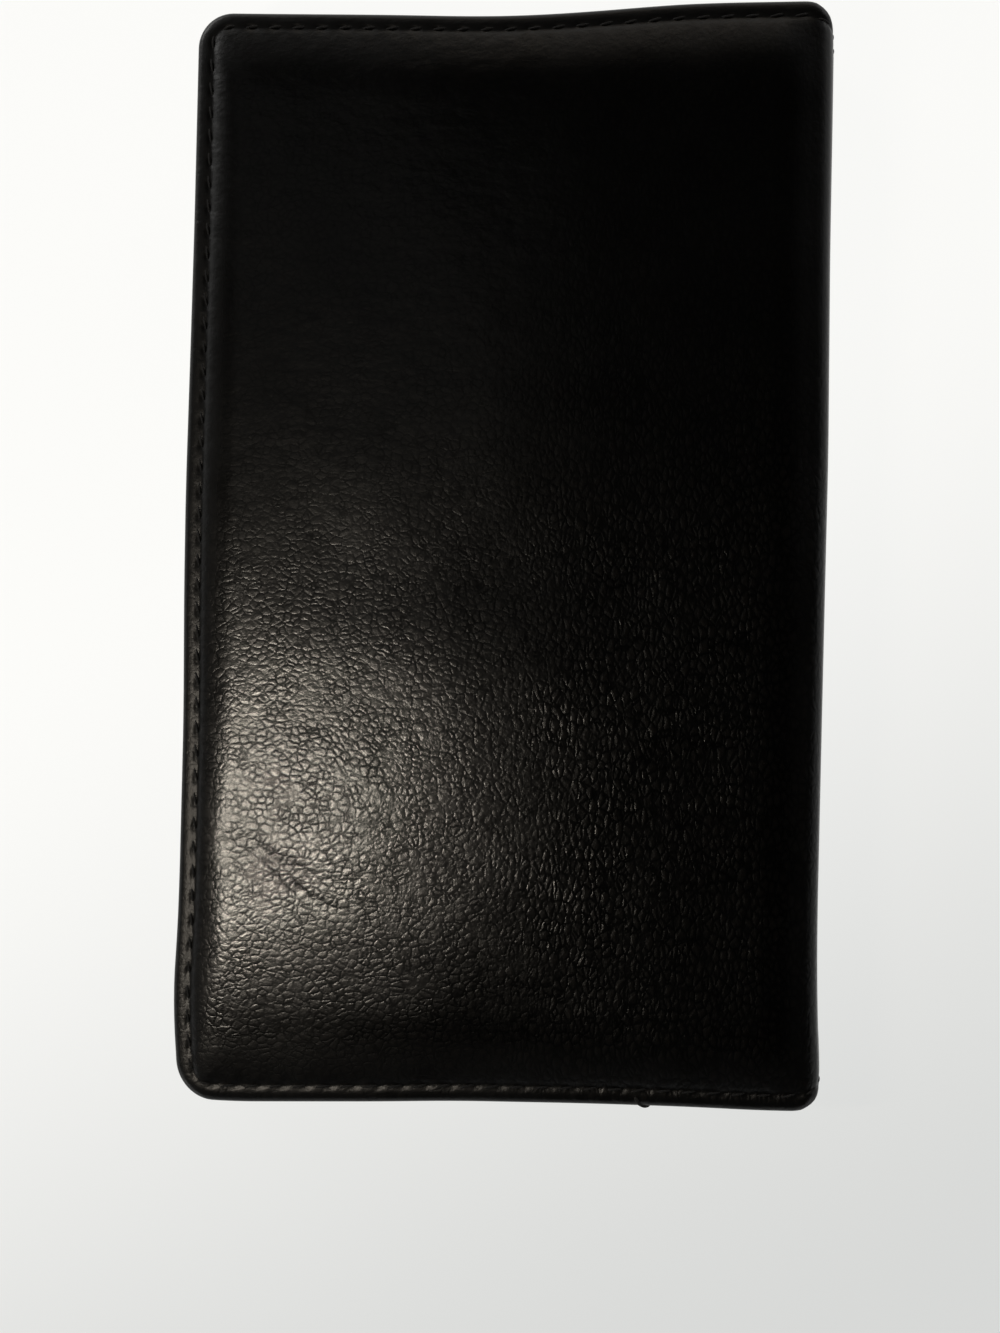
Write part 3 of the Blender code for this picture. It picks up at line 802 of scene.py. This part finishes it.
# The rings round a cover's border, outwards over the edge and back under it, as an inset, a depth
# under the face, and whether the ring lies on the outer face, the turned edge or the inner face.
def borderRings():
    inner, edge, deep = shoulderSpan[1], hide["edgeDepth"] / 2, hide["edgeDepth"]
    shoulder = np.arange(inner - cover["pitch"], hide["seamBorder"], -cover["pitch"])
    border = np.linspace(hide["seamBorder"], borderEnd, cover["seamRings"] + 1)
    rings = [(inset, 0.0, "outer") for inset in np.concatenate([shoulder, border])]
    first, fall = cover["rollStart"], cover["borderFall"]
    for a in np.linspace(first, math.pi, cover["edgeSteps"] + 1)[1:]:
        over = (math.cos(first) - math.cos(a)) / (math.cos(first) + 1)
        rings.append((edge * (1 - math.sin(a)), fall + (deep - fall) * over, "edge"))
    hollow, bite = deep - hide["turnInWall"], cover["turnInBite"]
    near, far = cover["turnIn"]
    for inset, depth in ((near, deep), (far, deep), (hide["turnInWidth"], deep - bite),
                         (hide["turnInWidth"], hollow + bite), (far, hollow), (near, hollow)):
        rings.append((inset, depth, "edge"))
    middle, reach = (hollow + hide["leather"]) / 2, (hollow - hide["leather"]) / 2
    for a in np.linspace(0, math.pi, cover["returnSteps"]):
        rings.append((edge - reach * math.sin(a), middle + reach * math.cos(a), "edge"))
    for u in np.linspace(0, 1, cover["innerRings"]):
        rings.append((hide["seamBorder"] + u * hide["shoulderRun"], hide["leather"], "inner"))
    return rings


# A plain grid over the middle of a cover, from the spine outwards and from the top down.
def middleGrid(columns, rows, inner):
    f = np.linspace(halfHide, inner, columns + 1)[None, :].repeat(rows + 1, 0)
    y = np.linspace(halfHeight - inner, inner - halfHeight, rows + 1)[:, None].repeat(columns + 1, 1)
    return f, y, insetOf(f, y)


# One cover's leather: the outer face is a plain grid inside and rings round the border, which roll
# over the edge, turn in under it, and come back as the inner face in larger faces.
def makeCoverSkin(name, front, bodies, start, end, replaced):
    inner = shoulderSpan[1]
    columns = 3 * round((halfHide - inner) / cover["pitch"] / 3)
    rows = 3 * round(2 * (halfHeight - inner) / cover["pitch"] / 3)
    lift = lifts[front]

    f, y, inset = middleGrid(columns, rows, inner)
    h = padHeight(f, y, inset) + faceRelief(f, y, inset, lift, front)
    blocks = [coverPlace(f, y, h, front).reshape(-1, 3)]
    grid = np.arange(f.size).reshape(f.shape)
    faces = gridFaces(grid).tolist()
    last, total = np.concatenate([grid[0], grid[1:, -1], grid[-1, ::-1][1:]]), f.size
    count = len(last)

    along = seamRun(columns, rows)[1]
    for inset, depth, side in borderRings():
        share = max(0.0, 1 - max(0.0, inset - hide["seamBorder"]) / hide["shoulderRun"])
        radius = (hide["cornerRadius"] - min(inset, hide["seamBorder"])) * share
        ring = outlineAt(inset, radius, columns, rows)
        f, y = ring[:, 0], ring[:, 1]
        if side == "edge":
            span = foldLength + 2 * cover["pinchReach"]
            pinch = np.sin(np.clip((f - leafLength + cover["pinchReach"]) / span, 0, 1) * math.pi) ** 2
            height = -depth + max(0.0, depth - hide["leather"]) * cover["hingePinch"] * pinch
        else:
            true = insetOf(f, y)
            height = padHeight(f, y, true) - depth
            if side == "outer":
                height = height + faceRelief(f, y, true, lift, front) + seamRelief(along, inset)
        blocks.append(coverPlace(f, y, height, front))
        index = np.arange(total, total + count)
        faces += gridFaces(np.stack([last, index])).tolist()
        last, total = index, total + count

    f, y, inset = middleGrid(columns // 3, rows // 3, inner + cover["innerStep"])
    blocks.append(coverPlace(f, y, padHeight(f, y, inset) - hide["leather"], front).reshape(-1, 3))
    grid = np.arange(total, total + f.size).reshape(f.shape)
    faces += gridFaces(grid).tolist()
    coarse = np.concatenate([grid[0], grid[1:, -1], grid[-1, ::-1][1:]])
    for k in range(len(coarse) - 1):  # one coarse edge meets three fine ones
        faces.append([coarse[k], coarse[k + 1], *last[3 * k + 3 : 3 * k - 1 if k else None : -1]])

    faces = [[int(i) for i in face] for face in faces]
    piece = makePiece(name, np.concatenate(blocks), faces, hideLeather, "cover_leather")
    closeRim(piece)
    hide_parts(*replaced)
    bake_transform(piece)


# Closes the open end of a skin with one face along its section.
def closeRim(piece):
    bm = bmesh.new()
    bm.from_mesh(piece.data)
    rim = [edge for edge in bm.edges if edge.is_boundary]
    for face in bmesh.ops.edgeloop_fill(bm, edges=rim)["faces"]:
        face.smooth = False
        for edge in face.edges:
            edge.smooth = False
    bmesh.ops.recalc_face_normals(bm, faces=bm.faces)
    bm.to_mesh(piece.data)
    bm.free()


# For the back and the front: the bodies on either side of the fold, and where the fold starts and ends
folds = {
    False: (("back_leaf", "spine"), (foldX, 0, crown), (foldX + foldRadius, 0, crown + foldRadius)),
    True: (("spine", "front_leaf"), (foldX + foldRadius, 0, hide["thick"] - crown - foldRadius),
           (foldX, 0, hide["thick"] - crown)),
}

lifts = {front: swollenLift(front) for front in (False, True)}
makeCoverSkin("backCoverSkin", False, *folds[False], ["back_cover_leather", "spine_leather"])
makeCoverSkin("frontCoverSkin", True, *folds[True], ["front_cover_leather"])
print("covers wrapped")


# Stitches


# How much the stitches vary, how thick they are at their ends, and how flat they lie
stitchShape = dict(
    leanVaries=0.25, shiftVaries=0.06, liftVaries=0.05, archPower=0.5, endPower=0.4, endShare=0.72,
    flatness=0.85,
)
nearBy = 1e-4  # how far off a second point is taken to read a direction


# A row of stitches along a path with outward normals: each stitch is a thin tube that comes up out
# of one hole, lies slanted on the leather and goes down into the next, worked out for all at once.
def sewAlong(path, normal, stitch, seed, along=8, around=6):
    length, shape = runOf(path), stitchShape
    pitch, radius, sink = stitch["pitch"], stitch["radius"], stitch["sink"]
    count = int(length[-1] / pitch)
    rng = np.random.default_rng(seed)
    a = np.linspace(0, 1, along)[None, :]
    at = pitch * (np.arange(count)[:, None] + 0.5) + (pitch - stitch["gap"]) * (a - 0.5)

    def read(values, where):
        return np.stack([np.interp(where, length, values[:, k]) for k in range(3)], -1)

    centre, up = read(path, at), read(normal, at)
    up /= np.linalg.norm(up, axis=-1, keepdims=True)
    ahead = read(path, at + nearBy) - read(path, at - nearBy)
    ahead /= np.linalg.norm(ahead, axis=-1, keepdims=True) + 1e-12
    side = np.cross(ahead, up)
    lean = stitch["slant"] * (1 + shape["leanVaries"] * rng.normal(size=(count, 1)))
    shift = shape["shiftVaries"] * radius * rng.normal(size=(count, 1))
    lift = shape["liftVaries"] * radius * rng.normal(size=(count, 1))
    arch = np.sin(math.pi * a) ** shape["archPower"]
    height = (stitch["rise"] + sink) * arch - sink + lift
    middle = centre + side * (lean * (1 - 2 * a) + shift)[..., None] + up * height[..., None]
    beta = np.linspace(0, 2 * math.pi, around + 1)[:-1]
    full = np.sin(math.pi * a) ** shape["endPower"]
    thick = radius * (shape["endShare"] + (1 - shape["endShare"]) * full)[..., None, None]
    ring = side[:, :, None] * np.cos(beta)[:, None]
    ring = ring + up[:, :, None] * (shape["flatness"] * np.sin(beta))[:, None]
    points = middle[:, :, None] + thick * ring
    index = np.arange(along * around).reshape(along, around)
    one = gridFaces(np.concatenate([index, index[:, :1]], 1))
    base = (np.arange(count) * along * around)[:, None, None]
    sides = (one[None] + base).reshape(-1, 4).tolist()
    ends = np.stack([index[0], index[-1][::-1]])[None] + base
    return points.reshape(-1, 3), sides + ends.reshape(-1, around).tolist()


# Joins rows of stitches into one piece.
def makeThread(name, rows, material, slot):
    points, faces, total = [], [], 0
    for rowPoints, rowFaces in rows:
        points.append(rowPoints)
        faces += [[i + total for i in face] for face in rowFaces]
        total += len(rowPoints)
    return makePiece(name, np.concatenate(points), faces, material, slot, sharp=80)


# The loose end of the front seam's thread: one long stitch along a smooth line through the points.
def threadTail():
    knots = np.array(seam["tail"]) / 10000
    length = runOf(knots)
    at = np.linspace(0, length[-1], seam["tailSteps"])
    path = np.stack([np.interp(at, length, knots[:, k]) for k in range(3)], -1)
    path = evenOut(path, seam["tailEvenings"])
    pitch = seam["tailShare"] * runOf(path)[-1]
    stitch = dict(pitch=pitch, radius=seam["tailRadius"], gap=0, slant=0, rise=0, sink=0)
    return sewAlong(path, path * 0 + (0, 0, 1), stitch, 5, along=18)


# The cover's seam follows the same half outline as the groove in the leather.
def makeCoverSeam(name, front, bodies, start, end):
    line = seamRun(*seam["runSteps"])[0]
    f, y = line[:, 0], line[:, 1]
    h = np.full(f.shape, -cover["grooveDepth"])
    path = coverPlace(f, y, h, front)
    normal = coverPlace(f, y, h + nearBy, front) - path
    rows = [sewAlong(path, normal, seam, 11 + front)]
    if front:
        rows.append(threadTail())
    piece = makeThread(name, rows, blackThread, "cover_leather")
    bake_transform(piece)


makeCoverSeam("backCoverSeam", False, *folds[False])
makeCoverSeam("frontCoverSeam", True, *folds[True])
print("seams sewn")


# Linings and pads


lining = dict(
    inset=0.0020, wall=0.0004, depth=0.0034, corner=0.0052, pitch=0.0015, finePitch=0.001,
    hingePoints=15, spinePoints=8, spineGap=0.00001,
    ripple=0.00005, rippleLength=0.017, rippleFade=(0.008, 0.003),
)
pad = dict(
    inset=0.0072, corner=0.0060, toFold=0.0010, pitch=0.0020, floor=0.0012, under=0.0015, least=0.0002,
    lumps=0.00006, lumpLength=0.009,
)


# The closed shell of a thin sheet: its middle surface moved half a wall both ways along the
# normals, and a rim that stands out a little between them, so that the cut edge is round.
def thickSheet(middle, wall, rimDraw=0.3):
    rows, columns = middle.shape[:2]
    normal = np.cross(np.gradient(middle, axis=1), np.gradient(middle, axis=0))
    normal /= np.linalg.norm(normal, axis=-1, keepdims=True) + 1e-15
    index = np.arange(rows * columns).reshape(rows, columns)
    loop = rimOf(index)
    flatMiddle, flatNormal = middle.reshape(-1, 3), normal.reshape(-1, 3)
    rim = flatMiddle[loop]
    outward = np.cross(np.roll(rim, -1, 0) - np.roll(rim, 1, 0), flatNormal[loop])
    outward /= np.linalg.norm(outward, axis=-1, keepdims=True) + 1e-15
    if ((rim - flatMiddle.mean(0)) * outward).sum() < 0:
        outward = -outward
    upper, lower = flatMiddle + flatNormal * wall / 2, flatMiddle - flatNormal * wall / 2
    upper[loop] -= outward * wall * rimDraw
    lower[loop] -= outward * wall * rimDraw
    size = rows * columns
    rimIndex = np.arange(len(loop)) + 2 * size
    strips = []
    for first, second in ((loop, rimIndex), (rimIndex, loop + size)):
        strips.append(gridFaces(np.stack([np.append(first, first[0]), np.append(second, second[0])])))
    faces = np.concatenate([gridFaces(index), gridFaces(index + size)[:, ::-1], *strips])
    return np.concatenate([upper, lower, rim]), faces.tolist()


# Places along a run with round corners at its ends: close together on the corner's quarter circle
# and even between, with how far the corner draws each one in.
def roundedRun(low, high, corner, pitch, rightCorner=True, steps=7):
    turn = np.linspace(0, math.pi / 2, steps + 1)[:-1]
    inner = low + corner, high - (corner if rightCorner else 0)
    count = max(2, round((inner[1] - inner[0]) / pitch))
    at = [low + corner * (1 - np.cos(turn)), np.linspace(*inner, count + 1)]
    drawn = [corner * (1 - np.sin(turn)), np.zeros(count + 1)]
    if rightCorner:
        at.append(high - corner * (1 - np.cos(turn[::-1])))
        drawn.append(drawn[0][::-1])
    return np.concatenate(at), np.concatenate(drawn)


# The lining's line through a fold, worked back from the open wallet: it lies flat there, and each
# point is turned back about the fold by a smooth step of up to a quarter turn.
def hingeLine(depth, count):
    t = np.linspace(0, 1, count)
    angle = -(t * t * (3 - 2 * t)) * math.pi / 2
    reach = foldRadius * math.pi / 4
    px, pz = foldX + reach, crown + foldRadius - reach
    rise = crown + depth - pz
    along = foldX + crown + 2 * foldRadius * t - px - pz - rise * (np.sin(angle) + np.cos(angle))
    along = along / (np.cos(angle) - np.sin(angle))
    x = px + along * np.cos(angle) + rise * np.sin(angle)
    z = pz - along * np.sin(angle) + rise * np.cos(angle)
    return x, z, leafLength + foldLength * t


# The lining's whole section from the fore edge to the middle of the spine, as x, z and the length
# along the hide that each point belongs to.
def liningLine(depth, low, pitch):
    run, drawn = roundedRun(low, leafLength - depth, lining["corner"], pitch, rightCorner=False)
    hx, hz, hf = hingeLine(depth, lining["hingePoints"])
    middle = hide["thick"] / 2 - lining["spineGap"]  # just short of the other half
    sz = np.linspace(hz[-1], middle, lining["spinePoints"])[1:]
    sf = leafLength + foldLength + sz - crown - foldRadius
    x = np.concatenate([run - halfWidth, hx[1:], hx[-1] + spineBulge(sf)])
    z = np.concatenate([np.full(run.shape, crown + depth), hz[1:], sz])
    f = np.concatenate([run, hf[1:], sf])
    return x, z, f, np.concatenate([drawn, np.zeros(len(x) - len(run))])


# How much the height is drawn in at a length along the hide, as the covers' ends are.
def drawnIn(f, y):
    return coverPlace(f, y, 0.0 * f, False)[..., 1]


# A twill lining from the fore edge to the middle of the spine: the section above carried up the
# wallet between its ends, with faint ripples.
def makeLining(name, front, bodies, start, end, replaced):
    x, z, f, drawn = liningLine(lining["depth"], lining["inset"], lining["pitch"])
    rows = round(2 * halfHeight / lining["pitch"])
    v = np.linspace(-1, 1, rows + 1)[:, None]
    y = drawnIn(f + 0 * v, v * (halfHeight - lining["inset"] - drawn))
    fadeFrom, fadeTo = lining["rippleFade"]
    onLeaf = 1 - smoothStep(f, leafLength - fadeFrom, leafLength - fadeTo)
    zz = z + lining["ripple"] * softNoise(f + 0 * v, y, lining["rippleLength"], 61 + front) * onLeaf
    middle = np.stack([x + 0 * v, y, hide["thick"] - zz if front else zz], -1)
    piece = makePiece(name, *thickSheet(middle, lining["wall"]), twill, "lining")
    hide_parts(*replaced)
    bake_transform(piece)


makeLining("backLiningTwill", False, *folds[False], ["back_lining", "spine_lining"])
makeLining("frontLiningTwill", True, *folds[True], ["front_lining"])


# The felt pad under a cover's leather: flat on the board, and crowned as the leather over it is.
def makePad(name, front, body, replaced):
    f, drawn = roundedRun(pad["inset"], leafLength - pad["toFold"], pad["corner"], pad["pitch"])
    rows = round(2 * halfHeight / pad["pitch"])
    v = np.linspace(-1, 1, rows + 1)[:, None]
    f, y = f + 0 * v, v * (halfHeight - pad["inset"] - drawn)
    inset = insetOf(f, y)
    lumps = pad["lumps"] * softNoise(f, y, pad["lumpLength"], 71 + front)
    top = padHeight(f, y, inset) - pad["under"] + np.minimum(lumps, 0)
    if front:
        top = top + cover["dome"] * liftAt(lifts[True], f, y) * smoothStep(inset, *shoulderSpan)
    top = np.maximum(top, pad["least"] - pad["floor"])
    under = np.full(top.shape, -pad["floor"])
    points = [wrapHide(f, y, h, front).reshape(-1, 3) for h in (top, under)]
    index = np.arange(f.size).reshape(f.shape)
    loop = rimOf(index)
    loop = np.append(loop, loop[0])
    wall = gridFaces(np.stack([loop, loop + index.size]))
    faces = np.concatenate([gridFaces(index), gridFaces(index + index.size)[:, ::-1], wall]).tolist()
    piece = makePiece(name, np.concatenate(points), faces, felt, "wadding")
    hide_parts(replaced)
    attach(piece, body)


makePad("backPad", False, "back_leaf", "back_wadding")
makePad("frontPad", True, "front_leaf", "front_wadding")
print("linings and pads in")


# Pockets


# Each pocket's own place: its sides, base, mouth and corners, the depths of its gusset and of its
# panel under the cover's face, its panel's wall and how far under the mouth its seam starts
documentPocket = dict(
    body="back_leaf", lowX=-0.0606, highX=0.0574, lowY=-0.1056, mouth=0.0940, corner=0.0048,
    gussetDepth=0.0059, depth=0.0101, wall=0.0007, seamDrop=0.0012,
)
passportPocket = dict(
    body="front_leaf", lowX=-0.0546, highX=0.0514, lowY=-0.1056, mouth=0.0064, corner=0.0048,
    gussetDepth=0.0067, depth=0.0109, wall=0.0007, seamDrop=0.0012, notchX=-0.0016, notchRadius=0.0100,
)
passPocket = dict(
    body="front_leaf", lowX=-0.0606, highX=0.0574, lowY=-0.1056, mouth=0.0860, corner=0.0048,
    depth=0.0062, wall=0.0005,
)
cardPocket = dict(
    body="back_leaf", lowX=-0.0496, highX=0.0464, lowY=-0.0966, corner=0.0030, depth=0.0111, wall=0.0005,
    seamDrop=0.0010,
)
# The three card panels' heights, the depth each stands over the last, and how far the side seams of
# the first two stop over the next one's mouth
cards = dict(heights=(0.0860, 0.0710, 0.0560), step=0.0008, over=0.0004)
gusset = dict(
    gap=0.0003, height=0.0036, wall=0.0004, flange=0.0030, foldIn=0.0075, spread=1.2,
    wander=0.00045, wanderLength=0.024, lift=0.00012, liftLength=0.031, sideFrom=0.04, baseReach=0.02,
    sectionSteps=49, evenings=3, runSteps=(90, 8, 60),
)
panel = dict(
    pitch=0.0014, mouthRows=[0, 0.0003, 0.0008, 0.0012, 0.0015, 0.0018, 0.0021, 0.0024, 0.0028, 0.0036],
    wave=0.00006, waveLength=0.020, waveFrom=(0.002, 0.02),
    press=0.00008, pressAt=0.0017, pressWidth=0.00035, lip=0.00008, lipWidth=0.0006, notchSteps=33,
)
panelSeam = dict(
    inset=0.0017, pitch=0.0031, radius=0.00020, gap=0.0006, slant=0.00010, rise=0.00008, sink=0.00034,
    grooveDepth=0.00007, grooveWidth=0.00045, runSteps=(300, 12, 200), sideSteps=80,
)


# The height of a depth under a cover's face: from the bottom for the back, from the top for the front.
def leafZ(depth, front):
    return hide["thick"] - depth if front else depth


# Down the left side, along the bottom and up the right side of a pocket, drawn in by an inset:
# straight runs and quarter circles, with the same number of points whatever the inset.
def pocketRun(pocket, mouth, inset, sidePoints, arcPoints, basePoints):
    r = max(pocket["corner"] - inset, hide["leastRadius"])
    left, right, low = pocket["lowX"] + inset, pocket["highX"] - inset, pocket["lowY"] + inset
    arc = np.linspace(0, math.pi / 2, arcPoints + 1)
    side = np.linspace(mouth, low + r, sidePoints + 1)
    base = np.linspace(left + r, right - r, basePoints + 1)
    x = np.concatenate([np.full(side.shape, left), left + r - r * np.cos(arc[1:]), base[1:],
                        right - r + r * np.sin(arc[1:]), np.full(side.shape, right)[1:]])
    y = np.concatenate([side, low + r - r * np.sin(arc[1:]), np.full(base.shape, low)[1:],
                        low + r - r * np.cos(arc[1:]), side[::-1][1:]])
    return x, y


# A bellows strip round three sides of a pocket: flat flanges joined by a soft inward fold, whose
# section is a bent line with its corners averaged round, carried along the pocket's outline.
def makeGusset(name, pocket, replaced):
    front = pocket["body"] == "front_leaf"
    height, half = gusset["height"], gusset["wall"] / 2
    spread = half * gusset["spread"]
    at = np.linspace(0, 4, gusset["sectionSteps"])
    inset = np.interp(at, range(5), [0, gusset["flange"], gusset["foldIn"], gusset["flange"], 0])
    rise = np.interp(at, range(5), [half, spread, height / 2, height - spread, height - half])
    inset, rise = evenOut(inset, gusset["evenings"]), evenOut(rise, gusset["evenings"])
    points = []
    for i, up in zip(inset, rise):
        x, y = pocketRun(pocket, pocket["mouth"], i, *gusset["runSteps"])
        along = np.linspace(0, 0.5, len(x))
        folded = smoothStep(i, gusset["flange"], gusset["foldIn"])
        push = gusset["wander"] * folded * softNoise(along, 0 * along, gusset["wanderLength"], 83 + front)
        inward = (pocket["lowX"] + pocket["highX"]) / 2 - x
        x = x + push * np.sign(inward) * (np.abs(inward) > gusset["sideFrom"])
        y = y + push * (y < pocket["lowY"] + gusset["baseReach"])
        lift = gusset["lift"] * folded * softNoise(along, 0 * along, gusset["liftLength"], 91 + front)
        z = leafZ(pocket["gussetDepth"] + gusset["gap"] + up, front)
        points.append(np.stack([x, y, np.full(x.shape, z) + lift], -1))
    middle = np.array(points)
    piece = makePiece(name, *thickSheet(middle, gusset["wall"]), gussetCloth, "gusset_cloth", sharp=60)
    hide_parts(replaced)
    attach(piece, pocket["body"])


# A pocket's panel: a rectangle with round corners on a grid of columns, a thumb notch cut by
# lowering the tops of its columns along a half circle, a pressed line under the mouth, a groove
# for its seam and soft waves, all pushed along the leaf's inward direction.
def makePanel(name, pocket, replaced, seed):
    lowX, highX, lowY, mouth = (pocket[key] for key in ("lowX", "highX", "lowY", "mouth"))
    columns, drawn = roundedRun(lowX, highX, pocket["corner"], panel["pitch"])
    top = np.full(columns.shape, mouth) - drawn
    if "notchRadius" in pocket:
        middle, r = pocket["notchX"], pocket["notchRadius"]
        bite = middle + r * np.sin(np.linspace(-math.pi / 2, math.pi / 2, panel["notchSteps"]))
        keep = np.abs(columns - middle) > r + panel["pitch"] / 2
        columns, drawn = columns[keep], drawn[keep]
        order = np.argsort(np.concatenate([columns, bite]))
        columns = np.concatenate([columns, bite])[order]
        drawn = np.concatenate([drawn, np.zeros(bite.shape)])[order]
        top = mouth - drawn - np.sqrt(np.clip(r * r - (columns - middle) ** 2, 0, None))
    low = lowY + drawn
    near = panel["mouthRows"]
    count = round((mouth - lowY - near[-1]) / panel["pitch"])
    v = np.concatenate([near, np.linspace(near[-1], mouth - lowY, count + 1)[1:]])[:, None]
    y = top - v + (mouth - lowY - (top - low)) * (v / (mouth - lowY))
    x = columns + 0 * v
    border = np.minimum(np.minimum(x - lowX, highX - x), y - lowY)
    raised = panel["wave"] * softNoise(x, y, panel["waveLength"], 101 + seed)
    raised = raised * smoothStep(border, *panel["waveFrom"])
    raised = raised - panel["press"] * bell(top - y - panel["pressAt"], panel["pressWidth"])
    raised = raised + panel["lip"] * bell(top - y, panel["lipWidth"])
    if "seamDrop" in pocket:
        groove = bell(border - panelSeam["inset"], panelSeam["grooveWidth"])
        raised = raised - panelSeam["grooveDepth"] * groove
    front = pocket["body"] == "front_leaf"
    z = leafZ(pocket["depth"] + pocket["wall"] / 2 + raised, front)
    made = thickSheet(np.stack([x, y, z], -1), pocket["wall"])
    piece = makePiece(name, *made, pocketLeather, "pocket_leather", sharp=60)
    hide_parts(replaced)
    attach(piece, pocket["body"])


# A row of small stitches on a panel's face, along a line of x and y.
def panelRow(pocket, x, y, seed):
    front = pocket["body"] == "front_leaf"
    face = pocket["depth"] + pocket["wall"] - panelSeam["grooveDepth"]
    path = np.stack([x, y, np.full(y.shape, leafZ(face, front))], -1)
    return sewAlong(path, path * 0 + (0, 0, -1 if front else 1), panelSeam, seed, along=7)


# A panel's seam down its left side, along its base and up its right side.
def seamRound(pocket, seed):
    mouth = pocket["mouth"] - pocket["seamDrop"]
    return panelRow(pocket, *pocketRun(pocket, mouth, panelSeam["inset"], *panelSeam["runSteps"]), seed)


# A pocket's stitches as one piece, which rides with the pocket's leaf.
def makePocketSeam(name, rows, body):
    piece = makeThread(name, rows, greyThread, "pocket_leather")
    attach(piece, body)


makeGusset("documentGusset", documentPocket, "document_pocket_gusset")
makePanel("documentPanel", documentPocket, "document_pocket_panel", 1)
makePocketSeam("documentSeam", [seamRound(documentPocket, 201)], "back_leaf")

# The card panels are stepped, and only the last one's seam runs all round
cardRows = []
for number, height in enumerate(cards["heights"]):
    depth = cardPocket["depth"] + number * cards["step"]
    card = dict(cardPocket, mouth=cardPocket["lowY"] + height, depth=depth)
    makePanel(f"cardPanel{number + 1}", card, f"card_panel_{number + 1}", 11 + number)
    if height == cards["heights"][-1]:
        cardRows.append(seamRound(card, 211))
        continue
    nextMouth = card["lowY"] + cards["heights"][number + 1]
    for x in (card["lowX"] + panelSeam["inset"], card["highX"] - panelSeam["inset"]):
        top, low = card["mouth"] - card["seamDrop"], nextMouth + cards["over"]
        y = np.linspace(top, low, panelSeam["sideSteps"])
        cardRows.append(panelRow(card, np.full(y.shape, x), y, 220 + number))
makePocketSeam("cardSeam", cardRows, "back_leaf")

makePanel("passPanel", passPocket, "boarding_pass_panel", 21)
makeGusset("passportGusset", passportPocket, "passport_pocket_gusset")
makePanel("passportPanel", passportPocket, "passport_pocket_panel", 31)
makePocketSeam("passportSeam", [seamRound(passportPocket, 231)], "front_leaf")
print("pockets sewn in")


# The inner stitches, and where the seam steps up at a pocket's mouth
innerStitch = dict(seam, radius=0.00024, slant=seam["slant"] * 0.5, rise=0.00008, sink=0.0004)
mouthStep = dict(above=0.0012, below=-0.0002, toFold=0.0016)


# The inner side of the cover's seam: it follows the lining's face from the middle of the spine
# round the leaf, and steps up on to a pocket where one covers the lining.
def makeInnerSeam(name, front, bodies, start, end, mouth, pocketFace):
    line = seamRun(*seam["runSteps"])[0]
    f, y = line[:, 0], line[:, 1]
    lx, lz, lf, _ = liningLine(lining["depth"] + lining["wall"] / 2, 0.0, lining["finePitch"])
    x, z = np.interp(f, lf, lx), np.interp(f, lf, lz)
    step = smoothStep(y, mouth + mouthStep["above"], mouth + mouthStep["below"])
    z = z + step * (f < leafLength - mouthStep["toFold"]) * (pocketFace - z)
    path = np.stack([x, drawnIn(f, y), hide["thick"] - z if front else z], -1)
    upSpine = smoothStep(f, leafLength, leafLength + foldLength)
    normal = np.stack([-upSpine, 0 * f, (1 - upSpine) * (-1 if front else 1)], -1)
    row = sewAlong(path, normal, innerStitch, 241 + front, along=7)
    piece = makeThread(name, [row], greyThread, "lining")
    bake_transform(piece)


gussetFace = documentPocket["gussetDepth"] + gusset["gap"] + gusset["wall"]
passFace = passPocket["depth"] + passPocket["wall"]
makeInnerSeam("backInnerSeam", False, *folds[False], documentPocket["mouth"], gussetFace)
makeInnerSeam("frontInnerSeam", True, *folds[True], passPocket["mouth"], passFace)
print("inner seams sewn")


# Boards keep their solids and get the fibre board's look
for name in ("back_board", "spine_board", "front_board"):
    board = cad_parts[name]
    board.data.materials.clear()
    board.data.materials.append(fibreBoard)
